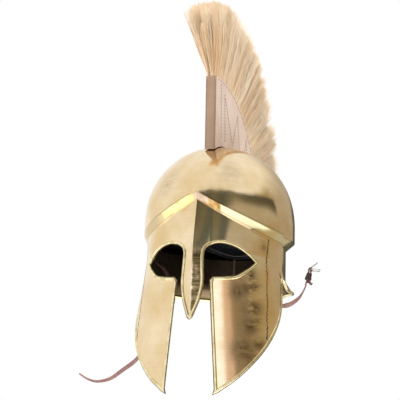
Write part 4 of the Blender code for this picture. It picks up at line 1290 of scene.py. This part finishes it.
# The liner. A cap of dark blue-grey leather lines the crown and hangs a little free of the wall at the
# back, with a turned hem along its lower edge and a lace that hangs from it inside the neck guard.
LINER = 0.002
LINER_ABOVE_LEDGE = 0.004
LINER_BEHIND_EAR = 0.028
LINER_BACK = 0.014
LINER_HANG = 0.018
LINER_DRAW_IN = 0.0095
LINER_RIPPLE = 0.0012
LINER_ROWS = 30
LINER_COLUMNS = 120
HEM_BULGE = 0.0008
HEM_RADIUS = 0.0004
HEM_HEIGHT = 0.0045
HEM_STEPS = 60
# The turns of the temple, of the point behind the ear and of the back
LINER_TURNS = (90, 148, 180)


def liner_edge(turn):
    """The height of the liner's lower edge."""
    away = abs(turn)
    temple, ear, back = LINER_TURNS
    if away <= temple:
        return ledge_height(away) + LINER_ABOVE_LEDGE
    side = ledge_height(temple) + LINER_ABOVE_LEDGE
    if away <= ear:
        return side + (LINER_BEHIND_EAR - side) * (away - temple) / (ear - temple)
    share = math.sin(math.pi / 2 * (away - ear) / (back - ear))
    return LINER_BEHIND_EAR + (LINER_BACK - LINER_BEHIND_EAR) * share


def drawn_in(point, height, drawn):
    """A point of the crown moved in towards the middle at a height."""
    x, y, _ = point
    out = 1 - drawn / math.hypot(x, y - DOME_CENTRE_Y)
    return from_eye_line(x * out, DOME_CENTRE_Y + (y - DOME_CENTRE_Y) * out, height)


points = []
faces = []
for inset in (SHEET + GAP, SHEET + GAP + LINER):
    first = len(points)
    points.append(from_eye_line(0.0, DOME_CENTRE_Y, CROWN_HEIGHT - inset))
    for row in range(1, LINER_ROWS + 1):
        fall = math.cos(math.pi / 2 * row / LINER_ROWS)
        for k in range(LINER_COLUMNS):
            turn = 360.0 * k / LINER_COLUMNS
            turn = turn if turn <= 180 else turn - 360
            low = liner_edge(turn)
            height = low + (CROWN_HEIGHT - inset - low) * fall
            drawn = LINER_DRAW_IN * (1 - smooth(low, low + LINER_HANG, height))
            if inset > SHEET + GAP:
                angle = math.radians(turn)
                ripple = noise.noise(Vector((math.sin(angle) * 4, math.cos(angle) * 4, height * 30)))
                drawn += LINER_RIPPLE * ripple * smooth(0, 1, row / LINER_ROWS)
                drawn += HEM_BULGE * math.exp(-((height - low - 0.002) / 0.0018) ** 2)
            points.append(drawn_in(crown_point(turn, height, inset), height, drawn))
    faces += [(first, first + 1 + (k + 1) % LINER_COLUMNS, first + 1 + k) for k in range(LINER_COLUMNS)]
    faces += band_faces(first + 1, LINER_COLUMNS, LINER_ROWS)
layer = len(points) // 2
last = 1 + (LINER_ROWS - 1) * LINER_COLUMNS
for k in range(LINER_COLUMNS):
    after = (k + 1) % LINER_COLUMNS
    faces.append((last + k, last + after, layer + last + after, layer + last + k))
liner_colours = ((0.060, 0.066, 0.082), (0.028, 0.030, 0.038))
liner_leather = leather("liner_leather", *liner_colours, 0.55, Grain=380.0, Mottle=40.0)
liner = add("liner_cap", mesh_of("liner_cap", points, faces, 45.0), (liner_leather,))
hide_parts("liner")
hem = []
for k in range(HEM_STEPS + 1):
    turn = -180 + 360 * k / HEM_STEPS
    low = liner_edge(turn)
    on_crown = crown_point(turn, low, SHEET + GAP + LINER)
    hem.append(drawn_in(on_crown, low + HEM_HEIGHT, LINER_DRAW_IN + HEM_RADIUS))
hem_mesh = bpy.data.curves.new("liner_hem_thread", "CURVE")
hem_mesh.dimensions = "3D"
hem_mesh.bevel_depth = HEM_RADIUS
hem_mesh.bevel_resolution = 2
spline = hem_mesh.splines.new("POLY")
spline.points.add(len(hem) - 1)
for target, point in zip(spline.points, hem):
    target.co = (*point, 1)
hem_mesh.materials.append(thread)
hem_line = placed("liner_hem_thread", hem_mesh)
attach(hem_line, "root")

# A narrow dark lace about five centimetres long hangs from the hem, bowed a little off the neck guard.
TIE_TURN = 185.0
TIE_LENGTH = 0.053
TIE_WIDTH = 0.003
TIE_BOW = 0.006
LACE = 0.0014
LACE_ROWS = 26
LACE_SIDES = 8
lace_colours = ((0.20, 0.105, 0.075), (0.12, 0.06, 0.045))
lace_leather = leather("lace_leather", *lace_colours, 0.6, Grain=700.0, Mottle=90.0)
lace_top = liner_edge(TIE_TURN - 360) - GAP
x, y, _ = face_point(TIE_TURN, LEDGE_BACK - LEDGE_STRIP)
points = []
for row in range(LACE_ROWS + 1):
    share = row / LACE_ROWS
    back = y - 2 * SHEET - GAP - TIE_BOW * share * (1 - share) - LACE / 2
    twist = 0.5 * math.sin(5.0 * share) * share
    for k in range(LACE_SIDES):
        angle = 2 * math.pi * k / LACE_SIDES
        aside = TIE_WIDTH / 2 * math.cos(angle) * (0.82 + 0.18 * abs(math.cos(angle)))
        ahead = LACE / 2 * math.sin(angle)
        turned_x = aside * math.cos(twist) - ahead * math.sin(twist)
        turned_y = aside * math.sin(twist) + ahead * math.cos(twist)
        points.append(from_eye_line(x + turned_x, back + turned_y, lace_top - TIE_LENGTH * share))
faces = band_faces(0, LACE_SIDES, LACE_ROWS + 1)
faces += [tuple(range(first, first + LACE_SIDES)) for first in (0, LACE_SIDES * LACE_ROWS)]
lace = add("lace", mesh_of("lace", points, faces, 60.0), (lace_leather,))
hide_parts("liner_tie")


# The chin strap's two halves. Each is a narrow belt of mauve-brown leather fixed inside the temple and
# hanging free. The right one tapers to a plain tail, and the left one is folded over the buckle's bar.
STRAP_WIDTH = 0.008
STRAP = 0.0018
TAIL_WIDTH = 0.0015
STRAP_START_HEIGHT = 0.014
STRAP_START_LENGTH = 0.009
BUCKLE_PLACE = (0.1200, 0.0225, -0.0095)
BUCKLE_TURN = 18.5
STRAP_LEAN = 14.0
WIRE = 0.0016
BAR_CLEARANCE = 0.0004
FOLD_RETURN = 0.019
FOLD_NECK = 0.0035
FOLD_STEPS = 16
FOLD_REACH = 100
STRAP_STEPS = 6
TORN = 0.0035
BAR_RISE = 0.12
# The belt's section, as shares of half its width and of half its thickness
BELT_EDGE = ((-1, -0.35), (-0.9, -0.85), (-0.5, -1), (0, -1.04), (0.5, -1), (0.9, -0.85), (1, -0.35))
BELT_SECTION = BELT_EDGE + tuple((-out, -up) for out, up in BELT_EDGE)
# The torn end: where it is along the fold, how far it has turned in degrees, and how far off it lies
SPLAY = (
    (-0.80, 20.0, 0.0005),
    (-0.91, 42.0, 0.0016),
    (-1.03, 58.0, 0.0030),
)
# A strap below its start: side, depth and height of its middle line, and the share of its width there
RIGHT_STRAP_ROUTE = (
    (-0.0800, -0.013, -0.001, 1.0),
    (-0.0690, -0.021, -0.008, 1.0),
    (-0.0575, -0.031, -0.0215, 1.0),
    (-0.0450, -0.044, -0.041, 1.0),
    (-0.0430, -0.051, -0.060, 1.0),
    (-0.0520, -0.056, -0.084, 1.0),
    (-0.0690, -0.0585, -0.108, 1.0),
    (-0.0885, -0.058, -0.1305, 0.95),
    (-0.1066, -0.056, -0.1432, 0.80),
    (-0.1258, -0.052, -0.1548, 0.62),
    (-0.1452, -0.048, -0.1588, 0.45),
    (-0.1604, -0.044, -0.1562, 0.32),
    (-0.1751, -0.040, -0.1492, 0.18),
)
LEFT_STRAP_ROUTE = (
    (0.0830, -0.0105, -0.010, 1.0),
    (0.0810, -0.012, -0.024, 1.0),
    (0.0800, -0.010, -0.042, 1.0),
    (0.0835, -0.004, -0.0535, 1.0),
    (0.0893, 0.001, -0.0574, 1.0),
    (0.0960, 0.009, -0.0555, 1.0),
    (0.1030, 0.015, -0.0500, 1.0),
    (0.1075, 0.018, -0.0448, 1.0),
    (0.1110, 0.020, -0.0385, 1.0),
    (0.1140, 0.0212, -0.0315, 1.0),
)


def strap_stations(route, steps, twist):
    """Stations of middle, width direction, width and thickness direction. A row of twist is a share of
    the way, and the direction of the width there."""
    side = math.copysign(WAIST_HALF_WIDTH - SHEET - GAP - 0.0002 - STRAP / 2, route[0][0])
    start = [
        (side, FACE_CENTRE_Y, STRAP_START_HEIGHT, 1.0),
        (side, FACE_CENTRE_Y, STRAP_START_HEIGHT - STRAP_START_LENGTH, 1.0),
    ]
    line = start[:1] + curve_through(start[1:] + list(route), steps)
    middles = [from_eye_line(*point[:3]) for point in line]
    stations = []
    for i, point in enumerate(middles):
        ahead = (middles[min(i + 1, len(middles) - 1)] - middles[max(i - 1, 0)]).normalized()
        across = Vector(twist[0][1])
        for (low, _), (high, direction) in zip(twist, twist[1:]):
            across = across.lerp(Vector(direction), smooth(low, high, i / (len(middles) - 1)))
        across = (across - ahead * across.dot(ahead)).normalized()
        stations.append((point, across, max(TAIL_WIDTH, STRAP_WIDTH * line[i][3]), ahead.cross(across)))
    return stations


def belt(name, stations, ragged=0.0):
    """A flat strap with rounded edges through stations. A ragged end is torn into points."""
    points = []
    for i, (middle, across, width, normal) in enumerate(stations):
        ahead = across.cross(normal)
        for out, up in BELT_SECTION:
            tear = 0.0
            if i == len(stations) - 1:
                tear = ragged * (0.5 + noise.noise(Vector((out * 5.3, 4.7, 0))))
            shift = across * (out * width / 2) + normal * (up * STRAP / 2) - ahead * tear
            points.append(middle + shift)
    around = len(BELT_SECTION)
    faces = band_faces(0, around, len(stations))
    faces += [tuple(range(first, first + around)) for first in (0, len(points) - around)]
    return mesh_of(name, points, faces, 50.0)


def buckle_axes():
    """The bar's direction, the strap's direction at the bar, and the direction across both."""
    turn = math.radians(BUCKLE_TURN)
    right = Vector((math.cos(turn), math.sin(turn), 0.0))
    bar = Vector((math.sin(turn), -math.cos(turn), BAR_RISE)).normalized()
    lean = math.radians(STRAP_LEAN)
    up = Vector((0, 0, 1)) * math.cos(lean) + right * math.sin(lean)
    up = (up - bar * up.dot(bar)).normalized()
    return bar, up, up.cross(bar)


def buckle_point(along_strap, across, along_bar=0.0):
    bar, up, side = buckle_axes()
    return from_eye_line(*BUCKLE_PLACE) + up * along_strap + side * across + bar * along_bar


strap_colours = ((0.30, 0.155, 0.135), (0.185, 0.085, 0.075))
strap_leather = leather("strap_leather", *strap_colours, 0.55, Grain=620.0, Mottle=60.0)
twist = ((0.15, (0.0, -1.0, -0.2)), (0.85, (0.25, -0.65, 0.72)))
stations = strap_stations(RIGHT_STRAP_ROUTE, STRAP_STEPS, twist)
right_strap = add("strap_right", belt("strap_right", stations), (strap_leather,))
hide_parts("chin_strap_right")

bar, up, side = buckle_axes()
twist = ((0.15, (0.0, -1.0, -0.2)), (0.54, (-0.17, -0.88, 0.35)), (1.0, bar))
stations = strap_stations(LEFT_STRAP_ROUTE, STRAP_STEPS, twist)
turn_radius = WIRE / 2 + BAR_CLEARANCE + STRAP / 2
leg = STRAP / 2 + GAP / 2
fold = [(-FOLD_RETURN * share, -leg) for share in (1.0, 0.75, 0.5)]
fold.append((-FOLD_NECK, -leg * 1.25))
for k in range(FOLD_STEPS + 1):
    turn = math.radians(-FOLD_REACH + 2 * FOLD_REACH * k / FOLD_STEPS)
    fold.append((turn_radius * math.cos(turn), turn_radius * math.sin(turn)))
fold.append((-FOLD_NECK, leg * 1.25))
fold += [(-FOLD_RETURN * share, leg) for share in (0.5, 0.75, 1.0)]
middles = [buckle_point(along, across) for along, across in fold]
for i, middle in enumerate(middles):
    ahead = (middles[min(i + 1, len(middles) - 1)] - middles[max(i - 1, 0)]).normalized()
    if i < len(middles) - 1:
        stations.append((middle, bar, STRAP_WIDTH, ahead.cross(bar)))
# The free end below the keeper has curled away from the strap, so that its torn edge shows
for along, curl, off in SPLAY:
    across = bar * math.cos(math.radians(curl)) + side * math.sin(math.radians(curl))
    middle = buckle_point(FOLD_RETURN * along, leg + off)
    stations.append((middle, across, STRAP_WIDTH, ahead.cross(across)))
left_strap = add("strap_left", belt("strap_left", stations, TORN), (strap_leather,))
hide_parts("chin_strap_left")


# The keeper. A band of near-black leather is wrapped tightly round both layers of the strap under the
# buckle and holds the fold by its grip alone.
KEEPER_BELOW_BAR = 0.0050
KEEPER_LENGTH = 0.0085
KEEPER = 0.0012
KEEPER_FLARE = 0.0010
KEEPER_ROWS = 12
KEEPER_COLUMNS = 48
KEEPER_SQUARENESS = 0.35
KEEPER_SLOPE = 0.0007
dark_colours = ((0.055, 0.032, 0.026), (0.028, 0.016, 0.014))
dark_leather = leather("dark_leather", *dark_colours, 0.5, Grain=500.0, Mottle=80.0)
inner_across = STRAP + GAP / 2 + GAP
inner_along = STRAP_WIDTH / 2 + GAP
points = []
# Up the outside and down the inside, each row with its place along the strap and its distance outwards
profile = [(row / KEEPER_ROWS, KEEPER) for row in range(KEEPER_ROWS + 1)]
profile += [(1 - row / KEEPER_ROWS, 0.0) for row in range(KEEPER_ROWS + 1)]
for share, grow in profile:
    for k in range(KEEPER_COLUMNS):
        angle = 2 * math.pi * k / KEEPER_COLUMNS
        across_out = math.copysign(abs(math.cos(angle)) ** KEEPER_SQUARENESS, math.cos(angle))
        along_out = math.copysign(abs(math.sin(angle)) ** KEEPER_SQUARENESS, math.sin(angle))
        place_on = Vector((across_out * 2, along_out * 2, share * 5))
        uneven = 0.0005 * noise.noise(place_on) + 0.00035 * abs(math.sin(9.4 * share + 2 * along_out))
        reach = grow * (0.75 + 0.25 * math.sin(math.pi * share) ** 0.5) - (uneven if grow else 0.0)
        reach += KEEPER_FLARE * share ** 2 if grow else 0.0
        slope = noise.noise(Vector((across_out * 3, along_out * 3, 9.0))) * (1 - 2 * share)
        along = -KEEPER_BELOW_BAR - KEEPER_LENGTH * share + KEEPER_SLOPE * slope
        across = across_out * (inner_across + reach)
        points.append(buckle_point(along, across, along_out * (inner_along + reach)))
faces = band_faces(0, KEEPER_COLUMNS, len(profile), closed=True)
keeper = add("keeper_band", mesh_of("keeper_band", points, faces, 45.0), (dark_leather,))
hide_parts("strap_keeper")


# The buckle. Its frame is a closed loop bent from bright steel wire, held by its bar in the strap's fold.
# Its tongue is a wire hook round the same bar, and both swing on it.
for node in ("buckle_frame", "buckle_tongue"):
    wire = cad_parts[node]
    wire.data.materials.clear()
    wire.data.materials.append(steel)
